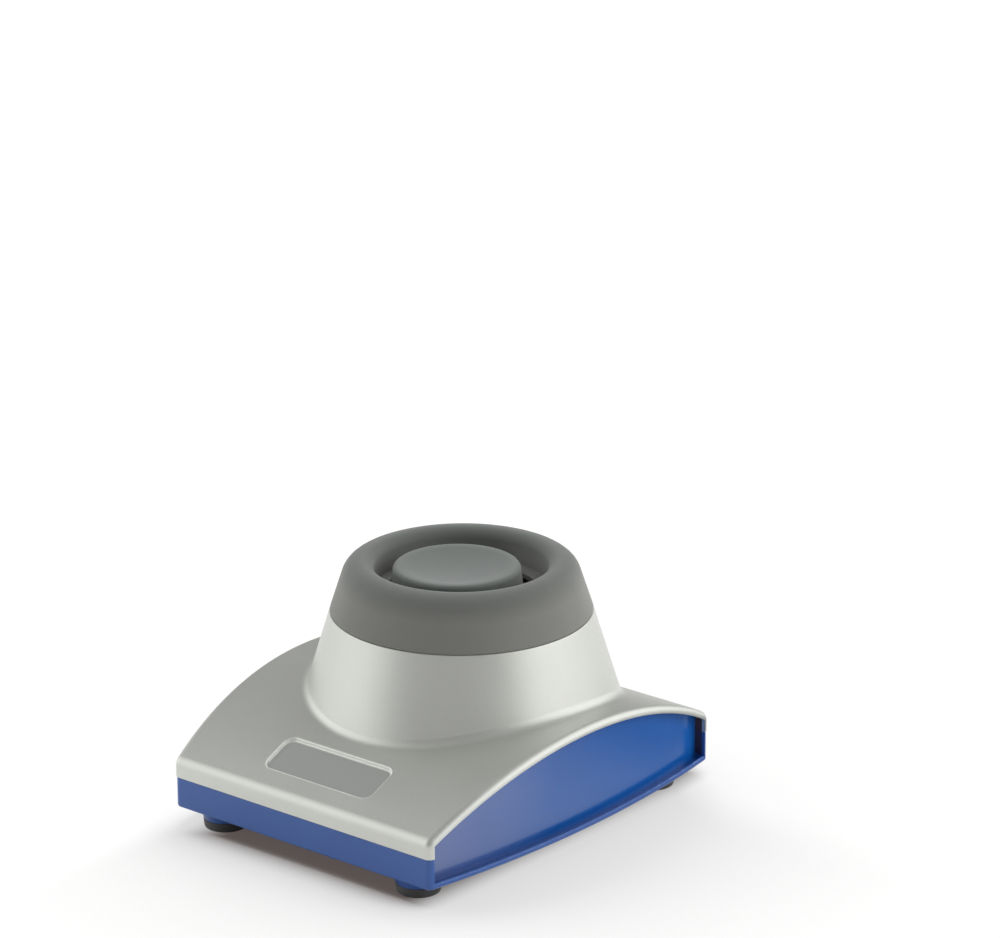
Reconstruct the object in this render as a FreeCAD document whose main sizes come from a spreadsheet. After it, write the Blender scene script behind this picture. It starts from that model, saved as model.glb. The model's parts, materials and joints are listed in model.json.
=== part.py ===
import FreeCAD, Part
import math
import os
import Sketcher
from FreeCAD import Placement, Rotation, Vector

# Mini vortex mixer: a sprung motor carriage in a two-part case drives an orbiting rubber cup.
# Frame: +Z up from the bench, +Y to the rear, +X to the right, origin under the middle of the
# case. The mixing axis is upright at x = 0, y = axis_back. All sizes are in millimetres.

SIZES = {
    # Case
    "body_width": 98.8,
    "body_depth": 128.0,
    "side_bow": 5.8,
    "corner_round": 2.0,
    "seam_height": 15.0,
    "base_bottom": 5.6,
    "floor_thickness": 1.8,
    "end_wall": 2.0,
    "base_step": 0.15,
    "base_edge_round": 0.8,
    "side_lip": 1.2,
    "side_lip_round": 0.5,
    "seam_round": 0.3,
    "crown_height": 37.5,
    "arch_radius": 128.6,
    "cover_wall": 2.2,
    "rim_round": 3.4,
    "panel_inset": 3.75,
    "panel_thickness": 2.0,
    "groove_depth": 1.1,
    "lap_height": 3.0,
    "lap_thickness": 1.2,
    "lap_length": 60.0,
    # Neck and rubber collar
    "axis_inset": 55.5,
    "collar_seam": 58.5,
    "neck_radius": 39.0,
    "neck_flare": 0.303,
    "neck_fillet": 3.2,
    "neck_edge_round": 0.4,
    "collar_edge_round": 0.5,
    "spigot_step": 2.6,
    "spigot_height": 6.0,
    "collar_height": 15.7,
    "collar_lean": 5.1,
    "shoulder_round": 6.2,
    "mouth_round": 3.3,
    "rim_width": 8.1,
    "collar_wall": 2.5,
    "collar_crown": 5.0,
    "lip_width": 3.0,
    "lip_height": 62.5,
    "lip_thickness": 2.0,
    # Name plate recess
    "plate_width": 40.6,
    "plate_length": 13.2,
    "plate_corner": 3.0,
    "plate_depth": 1.1,
    "plate_edge_round": 0.45,
    "plate_floor_round": 0.35,
    "plate_inset": 12.8,
    # Feet and case screws
    "front_foot_side": 12.0,
    "front_foot_inset": 9.0,
    "rear_foot_side": 9.8,
    "rear_foot_inset": 14.6,
    "foot_radius": 6.7,
    "foot_height": 3.0,
    "foot_bevel": 0.6,
    "foot_stem_radius": 3.4,
    "foot_stem_length": 0.8,
    "boss_radius": 7.5,
    "boss_tip_radius": 6.6,
    "screw_shank_radius": 1.5,
    "screw_head_radius": 2.7,
    "screw_head_height": 1.4,
    "screw_head_gap": 0.1,
    "screw_length": 12.0,
    "socket_radius": 1.25,
    "socket_depth": 1.0,
    "cover_boss_radius": 4.0,
    "stud_radius": 1.6,
    "stud_drop": 1.8,
    "stud_x": 9.0,
    "stud_inset": 5.0,
    # Motor carriage and its springs
    "plate_bottom": 47.0,
    "plate_thickness": 2.5,
    "plate_radius": 35.0,
    "plate_scallop": 19.0,
    "plate_scallop_centre": 43.0,
    "post_circle": 29.0,
    "post_radius": 4.6,
    "post_draft": 2.0,
    "post_top": 34.0,
    "guide_radius": 2.0,
    "guide_thread": 10.0,
    "guide_head_radius": 4.2,
    "guide_head_height": 2.2,
    "guide_clearance": 0.06,
    "bush_wall": 1.2,
    "bush_flange_radius": 4.4,
    "bush_flange": 0.8,
    "spring_radius": 3.3,
    "spring_wire": 0.8,
    "spring_turns": 4.0,
    "press_travel": 1.5,
    "stop_gap": 0.25,
    # Motor
    "motor_radius": 18.0,
    "motor_length": 30.0,
    "can_wall": 1.2,
    "neck_boss_radius": 5.0,
    "neck_boss_height": 1.8,
    "bushing_radius": 3.2,
    "bushing_length": 3.0,
    "shaft_radius": 2.0,
    "running_gap": 0.04,
    "motor_screw_circle": 12.5,
    "motor_screw_length": 4.5,
    "cap_flange": 1.2,
    "cap_depth": 1.6,
    "cap_floor": 0.9,
    "cap_boss_radius": 5.2,
    "magnet_thickness": 5.2,
    "magnet_angle": 130.0,
    "magnet_length": 16.0,
    "coil_gap": 1.5,
    "commutator_gap": 0.4,
    "air_gap": 0.7,
    "core_length": 12.0,
    "pole_neck": 3.2,
    "pole_hub": 4.0,
    "shoe_depth": 2.2,
    "slot_opening": 2.0,
    "coil_width": 6.6,
    "coil_inner": 5.3,
    "coil_outer": 6.9,
    "coil_overhang": 1.5,
    "commutator_radius": 4.0,
    "commutator_length": 4.0,
    "commutator_slit": 0.5,
    "commutator_web": 0.7,
    "brush_width": 3.0,
    "brush_length": 4.5,
    "leaf_thickness": 0.6,
    "leaf_width": 3.4,
    "tab_length": 3.2,
    "shaft_end_gap": 0.1,
    # Eccentric, bearing and head
    "orbit_offset": 2.0,
    "hub_radius": 7.0,
    "hub_bottom": 51.2,
    "hub_height": 7.8,
    "hub_blind": 1.0,
    "pin_radius": 3.0,
    "pin_shoulder_radius": 4.1,
    "pin_shoulder": 1.6,
    "weight_radius": 15.0,
    "weight_ring": 9.4,
    "weight_thickness": 4.0,
    "weight_lift": 1.8,
    "set_screw_radius": 1.5,
    "set_screw_length": 6.0,
    "bearing_outer": 7.5,
    "bearing_width": 5.0,
    "race_wall": 1.35,
    "ball_radius": 1.2,
    "ball_count": 7,
    "ball_clearance": 0.05,
    "clip_radius": 4.4,
    "clip_thickness": 0.6,
    "clip_gap": 0.1,
    "clip_pocket_spare": 0.6,
    "skirt_radius": 24.5,
    "skirt_thickness": 1.3,
    "head_boss_radius": 12.6,
    "head_boss_top": 68.0,
    "clip_pocket_radius": 5.4,
    "cup_radius": 19.6,
    "cup_top": 72.8,
    "cup_taper": 0.8,
    "cup_taper_height": 8.0,
    "cup_edge_round": 1.3,
    "cup_rim": 2.4,
    "dish_depth": 2.4,
    # Switch, inlet and circuit board
    "switch_length": 12.8,
    "switch_width": 5.8,
    "switch_height": 6.5,
    "cradle_wall": 1.4,
    "cradle_height": 3.4,
    "button_radius": 1.1,
    "button_inside": 1.6,
    "button_gap": 0.25,
    "button_spare": 0.2,
    "button_clearance": 0.05,
    "inlet_height": 10.9,
    "inlet_radius": 3.4,
    "inlet_flange_radius": 3.6,
    "inlet_box_width": 9.0,
    "inlet_box_length": 10.0,
    "inlet_bore_radius": 2.75,
    "inlet_bore_depth": 9.0,
    "inlet_pin_radius": 1.05,
    "inlet_pin_back": 1.0,
    "board_length": 46.0,
    "board_width": 22.0,
    "board_thickness": 1.6,
    "board_inset": 26.0,
    "standoff_height": 3.0,
    "standoff_radius": 2.4,
    "board_margin": 3.2,
    "board_screw_radius": 1.0,
    "board_screw_head": 1.9,
    "board_screw_spare": 0.5,
    "capacitor_radius": 4.0,
    "capacitor_height": 9.0,
    "transistor_width": 10.0,
    "transistor_height": 9.0,
    "transistor_thickness": 4.4,
    "plug_length": 9.8,
    "plug_width": 5.8,
    "plug_height": 6.5,
    "part_spacing": 12.5,
}

# How far a cutting tool runs past the faces that it cuts
OVERCUT = 1.0
# The poles of the armature, and the arms of the motor plate
POLES = 3


class Size:
    """A number together with the sheet formula that gives it."""

    def __init__(self, value, formula):
        self.value = float(value)
        self.formula = formula

    @staticmethod
    def of(item):
        return item if isinstance(item, Size) else Size(item, f"({float(item)})")

    def combined(self, other, sign, value):
        return Size(value, f"({self.formula} {sign} {other.formula})")

    def __add__(self, other):
        other = Size.of(other)
        return self.combined(other, "+", self.value + other.value)

    def __sub__(self, other):
        other = Size.of(other)
        return self.combined(other, "-", self.value - other.value)

    def __mul__(self, other):
        other = Size.of(other)
        return self.combined(other, "*", self.value * other.value)

    def __truediv__(self, other):
        other = Size.of(other)
        return self.combined(other, "/", self.value / other.value)

    def __radd__(self, other):
        return Size.of(other) + self

    def __rsub__(self, other):
        return Size.of(other) - self

    def __rmul__(self, other):
        return Size.of(other) * self

    def __rtruediv__(self, other):
        return Size.of(other) / self

    def __neg__(self):
        return Size.of(0) - self


def root(size):
    return Size(math.sqrt(size.value), f"sqrt({size.formula})")


def least(first, second):
    return Size(min(first.value, second.value), f"min({first.formula}; {second.formula})")


class Sizes:
    """The named sizes, each tied to its cell of the sheet."""

    def __init__(self, sheet, table):
        for row, (word, value) in enumerate(table.items(), start=1):
            sheet.set(f"A{row}", word)
            sheet.set(f"B{row}", str(value))
            sheet.setAlias(f"B{row}", word)
            setattr(self, word, Size(value, f"{sheet.Name}.{word}"))


doc = FreeCAD.newDocument("mini_vortex_mixer")
sheet = doc.addObject("Spreadsheet::Sheet", "Sizes")
d = Sizes(sheet, SIZES)
doc.recompute()
pieces = []


# Binding, placing and keeping pieces

def bind(thing, path, size):
    thing.setExpression(path, Size.of(size).formula)


def place(thing, x=0, y=0, z=0):
    for axis, size in zip("xyz", (x, y, z)):
        bind(thing, f".Placement.Base.{axis}", size)


def keep(thing, label):
    thing.Label = label
    pieces.append(thing)
    return thing


def new_body(name):
    body = doc.addObject("PartDesign::Body", name)
    body.AllowCompound = True
    return body


# Sketches

def new_sketch(body, plane, offset=0):
    """A sketch on one of the body's origin planes, moved along its normal by offset."""
    support = [f for f in body.Origin.OriginFeatures if f.Role == plane + "_Plane"][0]
    sketch = body.newObject("Sketcher::SketchObject", body.Name + "_sketch")
    sketch.AttachmentSupport = [(support, "")]
    sketch.MapMode = "FlatFace"
    bind(sketch, "AttachmentOffset.Base.z", offset)
    return sketch


def axis_sketch(body):
    """An XZ sketch whose upright axis is the mixing axis."""
    return new_sketch(body, "XZ", -axis_back)


def constrain(sketch, kind, *parts):
    """One driving constraint, whose last part is a Size bound to the sheet."""
    size = Size.of(parts[-1])
    index = sketch.addConstraint(Sketcher.Constraint(kind, *parts[:-1], size.value))
    bind(sketch, f"Constraints[{index}]", size)


def pin_point(sketch, geometry, position, x, y):
    constrain(sketch, "DistanceX", -1, 1, geometry, position, x)
    constrain(sketch, "DistanceY", -1, 1, geometry, position, y)


def draw_circle(sketch, x, y, radius):
    x, y, radius = Size.of(x), Size.of(y), Size.of(radius)
    middle = Vector(x.value, y.value, 0)
    circle = sketch.addGeometry(Part.Circle(middle, Vector(0, 0, 1), radius.value), False)
    constrain(sketch, "Radius", circle, radius)
    pin_point(sketch, circle, 3, x, y)


def arc_through(start, end, radius):
    """The short arc from start to end. A positive radius bulges to the right of the way."""
    chord = end - start
    left = Vector(-chord.y, chord.x, 0).normalize()
    reach = math.sqrt(radius * radius - chord.Length * chord.Length / 4)
    side = 1 if radius > 0 else -1
    middle = (start + end) * 0.5 + left * (reach * side)
    size = abs(radius)
    first, last = (start, end) if radius > 0 else (end, start)
    a0 = math.atan2(first.y - middle.y, first.x - middle.x)
    a1 = math.atan2(last.y - middle.y, last.x - middle.x)
    if a1 < a0:
        a1 += 2 * math.pi
    return Part.ArcOfCircle(Part.Circle(middle, Vector(0, 0, 1), size), a0, a1)


def draw_outline(sketch, corners, bends=None):
    """A closed outline through corners (x, y) or (x, y, round).

    bends maps the number of a corner to the radius of the arc that leaves it, in place of a
    straight side. A corner next to such an arc isn't rounded.
    """
    bends = bends or {}
    count = len(corners)
    spots = [(Size.of(c[0]), Size.of(c[1])) for c in corners]
    rounds = [Size.of(c[2]) if len(c) > 2 else None for c in corners]
    points = [Vector(x.value, y.value, 0) for x, y in spots]
    leave, arrive, arcs = list(points), list(points), {}
    for i, size in enumerate(rounds):
        if size is None:
            continue
        into = (points[i] - points[i - 1]).normalize()
        out = (points[(i + 1) % count] - points[i]).normalize()
        turn = math.atan2(into.x * out.y - into.y * out.x, into.dot(out))
        run = size.value * math.tan(abs(turn) / 2)
        arrive[i] = points[i] - into * run
        leave[i] = points[i] + out * run
        side = 1 if turn > 0 else -1
        middle = arrive[i] + Vector(-into.y, into.x, 0) * (size.value * side)
        first = arrive[i] if side > 0 else leave[i]
        a0 = math.atan2(first.y - middle.y, first.x - middle.x)
        circle = Part.Circle(middle, Vector(0, 0, 1), size.value)
        arcs[i] = (sketch.addGeometry(Part.ArcOfCircle(circle, a0, a0 + abs(turn)), False), side)
    sides, ends = [], []
    for i in range(count):
        start, end = leave[i], arrive[(i + 1) % count]
        if i in bends:
            radius = Size.of(bends[i])
            sides.append(sketch.addGeometry(arc_through(start, end, radius.value), False))
            size = radius if radius.value > 0 else -radius
            constrain(sketch, "Radius", sides[-1], size)
            ends.append((1, 2) if radius.value > 0 else (2, 1))
        else:
            sides.append(sketch.addGeometry(Part.LineSegment(start, end), False))
            ends.append((1, 2))
    for i in range(count):
        before = sides[i - 1]
        if i in arcs:
            corner = sketch.addGeometry(Part.Point(points[i]), True)
            pin_point(sketch, corner, 1, *spots[i])
            for line in (before, sides[i]):
                sketch.addConstraint(Sketcher.Constraint("PointOnObject", corner, 1, line))
            arc, side = arcs[i]
            first, last = (1, 2) if side > 0 else (2, 1)
            sketch.addConstraint(Sketcher.Constraint("Tangent", before, 2, arc, first))
            sketch.addConstraint(Sketcher.Constraint("Tangent", arc, last, sides[i], 1))
            constrain(sketch, "Radius", arc, rounds[i])
        else:
            joint = (before, ends[i - 1][1], sides[i], ends[i][0])
            sketch.addConstraint(Sketcher.Constraint("Coincident", *joint))
            pin_point(sketch, sides[i], ends[i][0], *spots[i])


def box_corners(x0, y0, x1, y1, corner_round=None):
    spots = [(x0, y0), (x1, y0), (x1, y1), (x0, y1)]
    return spots if corner_round is None else [(x, y, corner_round) for x, y in spots]


# Features

def extrude(body, sketch, length, cut=False, middle=False, reverse=False, draft=0):
    kind = "PartDesign::Pocket" if cut else "PartDesign::Pad"
    feature = body.newObject(kind, f"{body.Name}_{'pocket' if cut else 'pad'}")
    feature.Profile = sketch
    feature.SideType = "Symmetric" if middle else "One side"
    feature.Reversed = reverse
    bind(feature, "Length", length)
    if draft:
        bind(feature, "TaperAngle", draft)
    return feature


def spin(body, sketch, cut=False, angle=360):
    kind = "PartDesign::Groove" if cut else "PartDesign::Revolution"
    feature = body.newObject(kind, f"{body.Name}_{'groove' if cut else 'turning'}")
    feature.Profile = sketch
    feature.ReferenceAxis = (sketch, ["V_Axis"])
    bind(feature, "Angle", angle)
    return feature


def soften(body, radius, choose, kind="Fillet"):
    """Rounds (or chamfers) the edges of the body's tip that choose accepts."""
    doc.recompute()
    tip = body.Tip
    names = [f"Edge{n}" for n, edge in enumerate(tip.Shape.Edges, start=1) if choose(edge)]
    if not names:
        raise ValueError(f"{body.Name}: no edge to soften")
    feature = body.newObject("PartDesign::" + kind, f"{body.Name}_{kind.lower()}")
    feature.Base = (tip, names)
    bind(feature, "Radius" if kind == "Fillet" else "Size", radius)
    return feature


def middle_of(edge):
    return (edge.FirstParameter + edge.LastParameter) / 2


def mid(edge):
    return edge.valueAt(middle_of(edge))


def heading(edge):
    return edge.tangentAt(middle_of(edge))


def turned(name, profile, label=None, at=None):
    """A piece turned about an upright axis from a profile of (radius, height) corners."""
    body = new_body(name)
    sketch = new_sketch(body, "XZ")
    draw_outline(sketch, profile)
    spin(body, sketch)
    if at is not None:
        place(body, *at)
    return keep(body, label) if label else body


def ring(inner, outer, bottom, top):
    return [(inner, bottom), (outer, bottom), (outer, top), (inner, top)]


def group(label, master, spots, turns=None):
    """One node that holds a copy of master at each spot, as separate solids.

    turns holds the angle about its own upright axis that each copy is turned by.
    """
    links = []
    for number, spot in enumerate(spots):
        link = doc.addObject("App::Link", f"{label}_{number + 1}")
        link.LinkedObject = master
        link.LinkTransform = False
        if turns:
            turn = Size.of(turns[number])
            link.Placement = Placement(Vector(0, 0, 0), Rotation(Vector(0, 0, 1), turn.value))
            bind(link, ".Placement.Rotation.Angle", turn)
        place(link, *spot)
        links.append(link)
    compound = doc.addObject("Part::Compound", label + "_set")
    compound.Links = links
    return keep(compound, label)


def repeat_round(body, sketch, feature):
    """Repeats a cut of the body once for each pole, about the sketch's own middle."""
    pattern = body.newObject("PartDesign::PolarPattern", body.Name + "_pattern")
    pattern.Originals = [feature]
    pattern.Axis = (sketch, ["N_Axis"])
    pattern.Angle = 360
    pattern.Occurrences = POLES
    body.Tip = pattern


def combine(kind, name, base, tool):
    """A Part::Cut or Part::Common of two objects."""
    result = doc.addObject("Part::" + kind, name)
    result.Base = base
    result.Tool = tool
    return result


def fuse(name, *shapes):
    result = doc.addObject("Part::MultiFuse", name)
    result.Shapes = list(shapes)
    return result


def cylinder(name, radius, height, x=0, y=0, z=0, angle=None):
    solid = doc.addObject("Part::Cylinder", name)
    bind(solid, "Radius", radius)
    bind(solid, "Height", height)
    if angle is not None:
        bind(solid, "Angle", angle)
    place(solid, x, y, z)
    return solid


def block(name, length, width, height, x=0, y=0, z=0):
    """A box centred on x and y that stands on z."""
    solid = doc.addObject("Part::Box", name)
    bind(solid, "Length", length)
    bind(solid, "Width", width)
    bind(solid, "Height", height)
    place(solid, x - Size.of(length) / 2, y - Size.of(width) / 2, z)
    return solid


# Heights and places that several pieces share

half_width = d.body_width / 2
half_depth = d.body_depth / 2
bow_radius = (half_depth * half_depth + d.side_bow * d.side_bow) / (2 * d.side_bow)
bow_centre = half_width + d.side_bow - bow_radius
inner_depth = half_depth - d.end_wall
past_sides = d.body_width + 4 * d.side_bow
floor_top = d.base_bottom + d.floor_thickness
under_radius = d.arch_radius - d.cover_wall
arch_centre = d.crown_height - d.arch_radius
axis_back = half_depth - d.axis_inset
axis = (Size.of(0), axis_back)
plate_forward = half_depth - d.plate_inset
board_forward = half_depth - d.board_inset
spigot_radius = d.neck_radius - d.spigot_step
spigot_top = d.collar_seam + d.spigot_height
spigot_tip = spigot_radius - d.neck_flare * d.spigot_height
plate_top = d.plate_bottom + d.plate_thickness
bush_top = plate_top + d.bush_flange
guide_seat = bush_top + d.stop_gap
motor_bottom = d.plate_bottom - d.motor_length
can_bottom = motor_bottom + d.cap_flange
can_inner = d.motor_radius - d.can_wall
screw_seat = d.foot_height + d.foot_stem_length + d.screw_head_gap + d.screw_head_height
hub_top = d.hub_bottom + d.hub_height
race_bottom = hub_top + d.pin_shoulder
race_top = race_bottom + d.bearing_width
pin_spot = (Size.of(0), axis_back - d.orbit_offset)
ball_circle = (d.pin_radius + d.bearing_outer) / 2
head_bottom = race_bottom
skirt_top = head_bottom + d.skirt_thickness
magnet_outer = can_inner
magnet_inner = magnet_outer - d.magnet_thickness
core_radius = magnet_inner - d.air_gap
core_top = d.plate_bottom - d.can_wall - d.neck_boss_height - d.coil_overhang - d.coil_gap
core_bottom = core_top - d.core_length
commutator_top = core_bottom - d.coil_overhang - d.commutator_gap
brush_height = commutator_top - d.commutator_length / 2
leaf_reach = d.commutator_radius + d.running_gap + d.brush_length


def round_axis(radius, count, first=0, middle=axis_back):
    """Evenly spaced places on a circle about an upright line at x = 0, y = middle."""
    places = []
    for number in range(count):
        turn = math.radians(first + 360 * number / count)
        across = radius * round(math.cos(turn), 9)
        along = radius * round(math.sin(turn), 9)
        places.append((across, middle + along))
    return places


posts = round_axis(d.post_circle, POLES, first=90)
foot_pairs = ((half_width - d.front_foot_side, d.front_foot_inset - half_depth),
              (half_width - d.rear_foot_side, half_depth - d.rear_foot_inset))
feet = [(side * x, y) for x, y in foot_pairs for side in (-1, 1)]


# Case

def bowed_plan(inset=0):
    """The plan outline: straight ends and sides that bow out by side_bow."""
    x, y = half_width - inset, half_depth - inset
    corners = [(-x, -y), (x, -y), (x, y), (-x, y)]
    return corners, {1: bow_radius, 3: bow_radius}


def arch_line(radius, reach):
    """The height of an arch surface at the distance reach from the middle."""
    return arch_centre + root(radius * radius - reach * reach)


def neck_at(height):
    """The radius of the neck's cone at a height."""
    return d.neck_radius + d.neck_flare * (d.collar_seam - height)


def is_upright(edge):
    return isinstance(edge.Curve, Part.Line) and abs(edge.Curve.Direction.z) > 0.99


def is_corner(edge):
    """An upright edge at one of the four corners of the plan."""
    spot = mid(edge)
    near_end = abs(spot.y) > half_depth.value - d.end_wall.value
    return is_upright(edge) and abs(spot.x) > half_width.value - d.end_wall.value and near_end


def is_level(edge, height):
    """An edge that lies flat at this height."""
    box = edge.BoundBox
    return abs(box.ZMin - height.value) < 0.01 and abs(box.ZMax - height.value) < 0.01


def is_seam_edge(edge):
    """The outer edge of an end wall where cover and base meet."""
    outside = abs(mid(edge).y) > half_depth.value - d.end_wall.value / 2
    return is_level(edge, d.seam_height) and outside


def make_top_cover():
    body = new_body("cover_case")
    reach = half_depth
    profile = new_sketch(body, "YZ")
    lip = arch_line(d.arch_radius, reach)
    corners = [(-reach, d.seam_height), (reach, d.seam_height), (reach, lip), (-reach, lip)]
    draw_outline(profile, corners, {2: d.arch_radius})
    extrude(body, profile, past_sides, middle=True)

    trim = new_sketch(body, "XY")
    margin = 4 * d.side_bow
    draw_outline(trim, box_corners(-half_width - margin, -half_depth - margin,
                                   half_width + margin, half_depth + margin))
    draw_outline(trim, *bowed_plan())
    extrude(body, trim, d.crown_height + margin, cut=True, reverse=True)
    soften(body, d.rim_round, lambda edge: is_level(edge, lip))

    def is_side_rim(edge):
        """An edge that runs up a corner, over the rounded lip or along the arch at a side."""
        spot = mid(edge)
        beside = abs(spot.x) > half_width.value - d.rim_round.value
        above = spot.z > d.seam_height.value + OVERCUT
        return beside and above and abs(heading(edge).x) < 0.5
    soften(body, d.corner_round, is_side_rim)

    neck = axis_sketch(body)
    foot = arch_line(d.arch_radius, half_depth) - OVERCUT
    draw_outline(neck, [(0, foot), (neck_at(foot), foot),
                        (d.neck_radius, d.collar_seam, d.neck_edge_round),
                        (spigot_radius, d.collar_seam), (spigot_tip, spigot_top), (0, spigot_top)])
    spin(body, neck)

    def neck_root(edge):
        spot = mid(edge)
        radius = math.hypot(spot.x, spot.y - axis_back.value)
        on_arch = arch_line(d.arch_radius, Size.of(abs(spot.y))).value
        near = abs(radius - neck_at(Size.of(spot.z)).value) < 0.5
        return near and abs(spot.z - on_arch) < 0.5
    soften(body, d.neck_fillet, neck_root)

    hollow = new_sketch(body, "YZ")
    low = d.seam_height - OVERCUT
    under = arch_line(under_radius, inner_depth)
    draw_outline(hollow, [(-inner_depth, low), (inner_depth, low), (inner_depth, under),
                          (-inner_depth, under)], {2: under_radius})
    extrude(body, hollow, past_sides, cut=True, middle=True)

    bore = axis_sketch(body)
    slant = root(1 + d.neck_flare * d.neck_flare)
    wall = d.cover_wall * slant
    bore_low = arch_line(d.arch_radius, half_depth)
    draw_outline(bore, [(0, bore_low), (neck_at(bore_low) - wall, bore_low),
                        (d.neck_radius - wall - d.spigot_step, d.collar_seam - d.spigot_step),
                        (spigot_tip - d.cover_wall, spigot_top + OVERCUT),
                        (0, spigot_top + OVERCUT)])
    spin(body, bore, cut=True)
    soften(body, d.seam_round, is_seam_edge)

    plate = new_sketch(body, "XY")
    slope = math.degrees(math.asin(plate_forward.value / d.arch_radius.value))
    plate.AttachmentOffset = Placement(Vector(0, 0, 0), Rotation(Vector(1, 0, 0), slope))
    lean = f"asin({plate_forward.formula} / {d.arch_radius.formula})"
    plate.setExpression("AttachmentOffset.Rotation.Angle", lean)
    bind(plate, "AttachmentOffset.Base.y", -plate_forward)
    bind(plate, "AttachmentOffset.Base.z", arch_line(d.arch_radius, plate_forward))
    draw_outline(plate, box_corners(-d.plate_width / 2, -d.plate_length / 2,
                                    d.plate_width / 2, d.plate_length / 2, d.plate_corner))
    extrude(body, plate, d.plate_depth, cut=True)

    tilt = math.radians(slope)
    outward = Vector(0, -math.sin(tilt), math.cos(tilt))
    on_arch = Vector(0, -plate_forward.value, arch_line(d.arch_radius, plate_forward).value)

    def in_recess(edge, deep):
        """An edge of the recess: on its floor, or up where its walls meet the arch."""
        away = mid(edge) - on_arch
        along = abs(away.dot(Vector(0, math.cos(tilt), math.sin(tilt))))
        inside = abs(away.x) < d.plate_width.value / 2 + 0.1 and along < d.plate_length.value / 2 + 0.1
        upright = edge.Length < 1.2 * d.plate_depth.value
        level = -away.dot(outward) / d.plate_depth.value
        return inside and not upright and (level > 0.9 if deep else -0.5 < level < 0.5)
    soften(body, d.plate_floor_round, lambda edge: in_recess(edge, True))
    soften(body, d.plate_edge_round, lambda edge: in_recess(edge, False))
    keep(fuse("top_cover_shell", body, make_cover_bosses()), "top_cover")


def cut_above_arch(body, radius):
    """Trims a body to what lies under an arch of this radius."""
    above = new_sketch(body, "YZ")
    over = inner_depth + OVERCUT
    edge = arch_line(radius, over)
    high = d.crown_height + d.crown_height
    draw_outline(above, [(-over, edge), (over, edge), (over, high), (-over, high)],
                 {0: -radius})
    extrude(body, above, past_sides, cut=True, middle=True)


def make_cover_bosses():
    """Four screw bosses that stand on the floor and end inside the arch's wall."""
    body = new_body("cover_bosses")
    bosses = new_sketch(body, "XY", floor_top)
    for x, y in feet:
        draw_circle(bosses, x, y, d.cover_boss_radius)
    extrude(body, bosses, d.crown_height)
    cut_above_arch(body, d.arch_radius - d.cover_wall / 2)
    pilots = new_sketch(body, "XY", floor_top)
    for x, y in feet:
        draw_circle(pilots, x, y, d.screw_shank_radius)
    extrude(body, pilots, screw_seat + d.screw_length - floor_top, cut=True, reverse=True)
    return body


def panel_band(sketch, side, inset=d.panel_inset):
    """The plan of a bowed band from inset to the inner face of a side panel."""
    outer = bow_radius - inset
    inner = bow_radius - d.panel_inset - d.panel_thickness
    x_outer = bow_centre + root(outer * outer - inner_depth * inner_depth)
    x_inner = bow_centre + root(inner * inner - inner_depth * inner_depth)
    corners = [(side * x_inner, -inner_depth), (side * x_outer, -inner_depth),
               (side * x_outer, inner_depth), (side * x_inner, inner_depth)]
    draw_outline(sketch, corners, {1: side * outer, 3: -side * inner})


def make_side_panel(label, side):
    body = new_body(label)
    band = new_sketch(body, "XY", floor_top - d.groove_depth)
    panel_band(band, side)
    extrude(body, band, d.crown_height)
    cut_above_arch(body, under_radius)
    keep(body, label)


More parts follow.
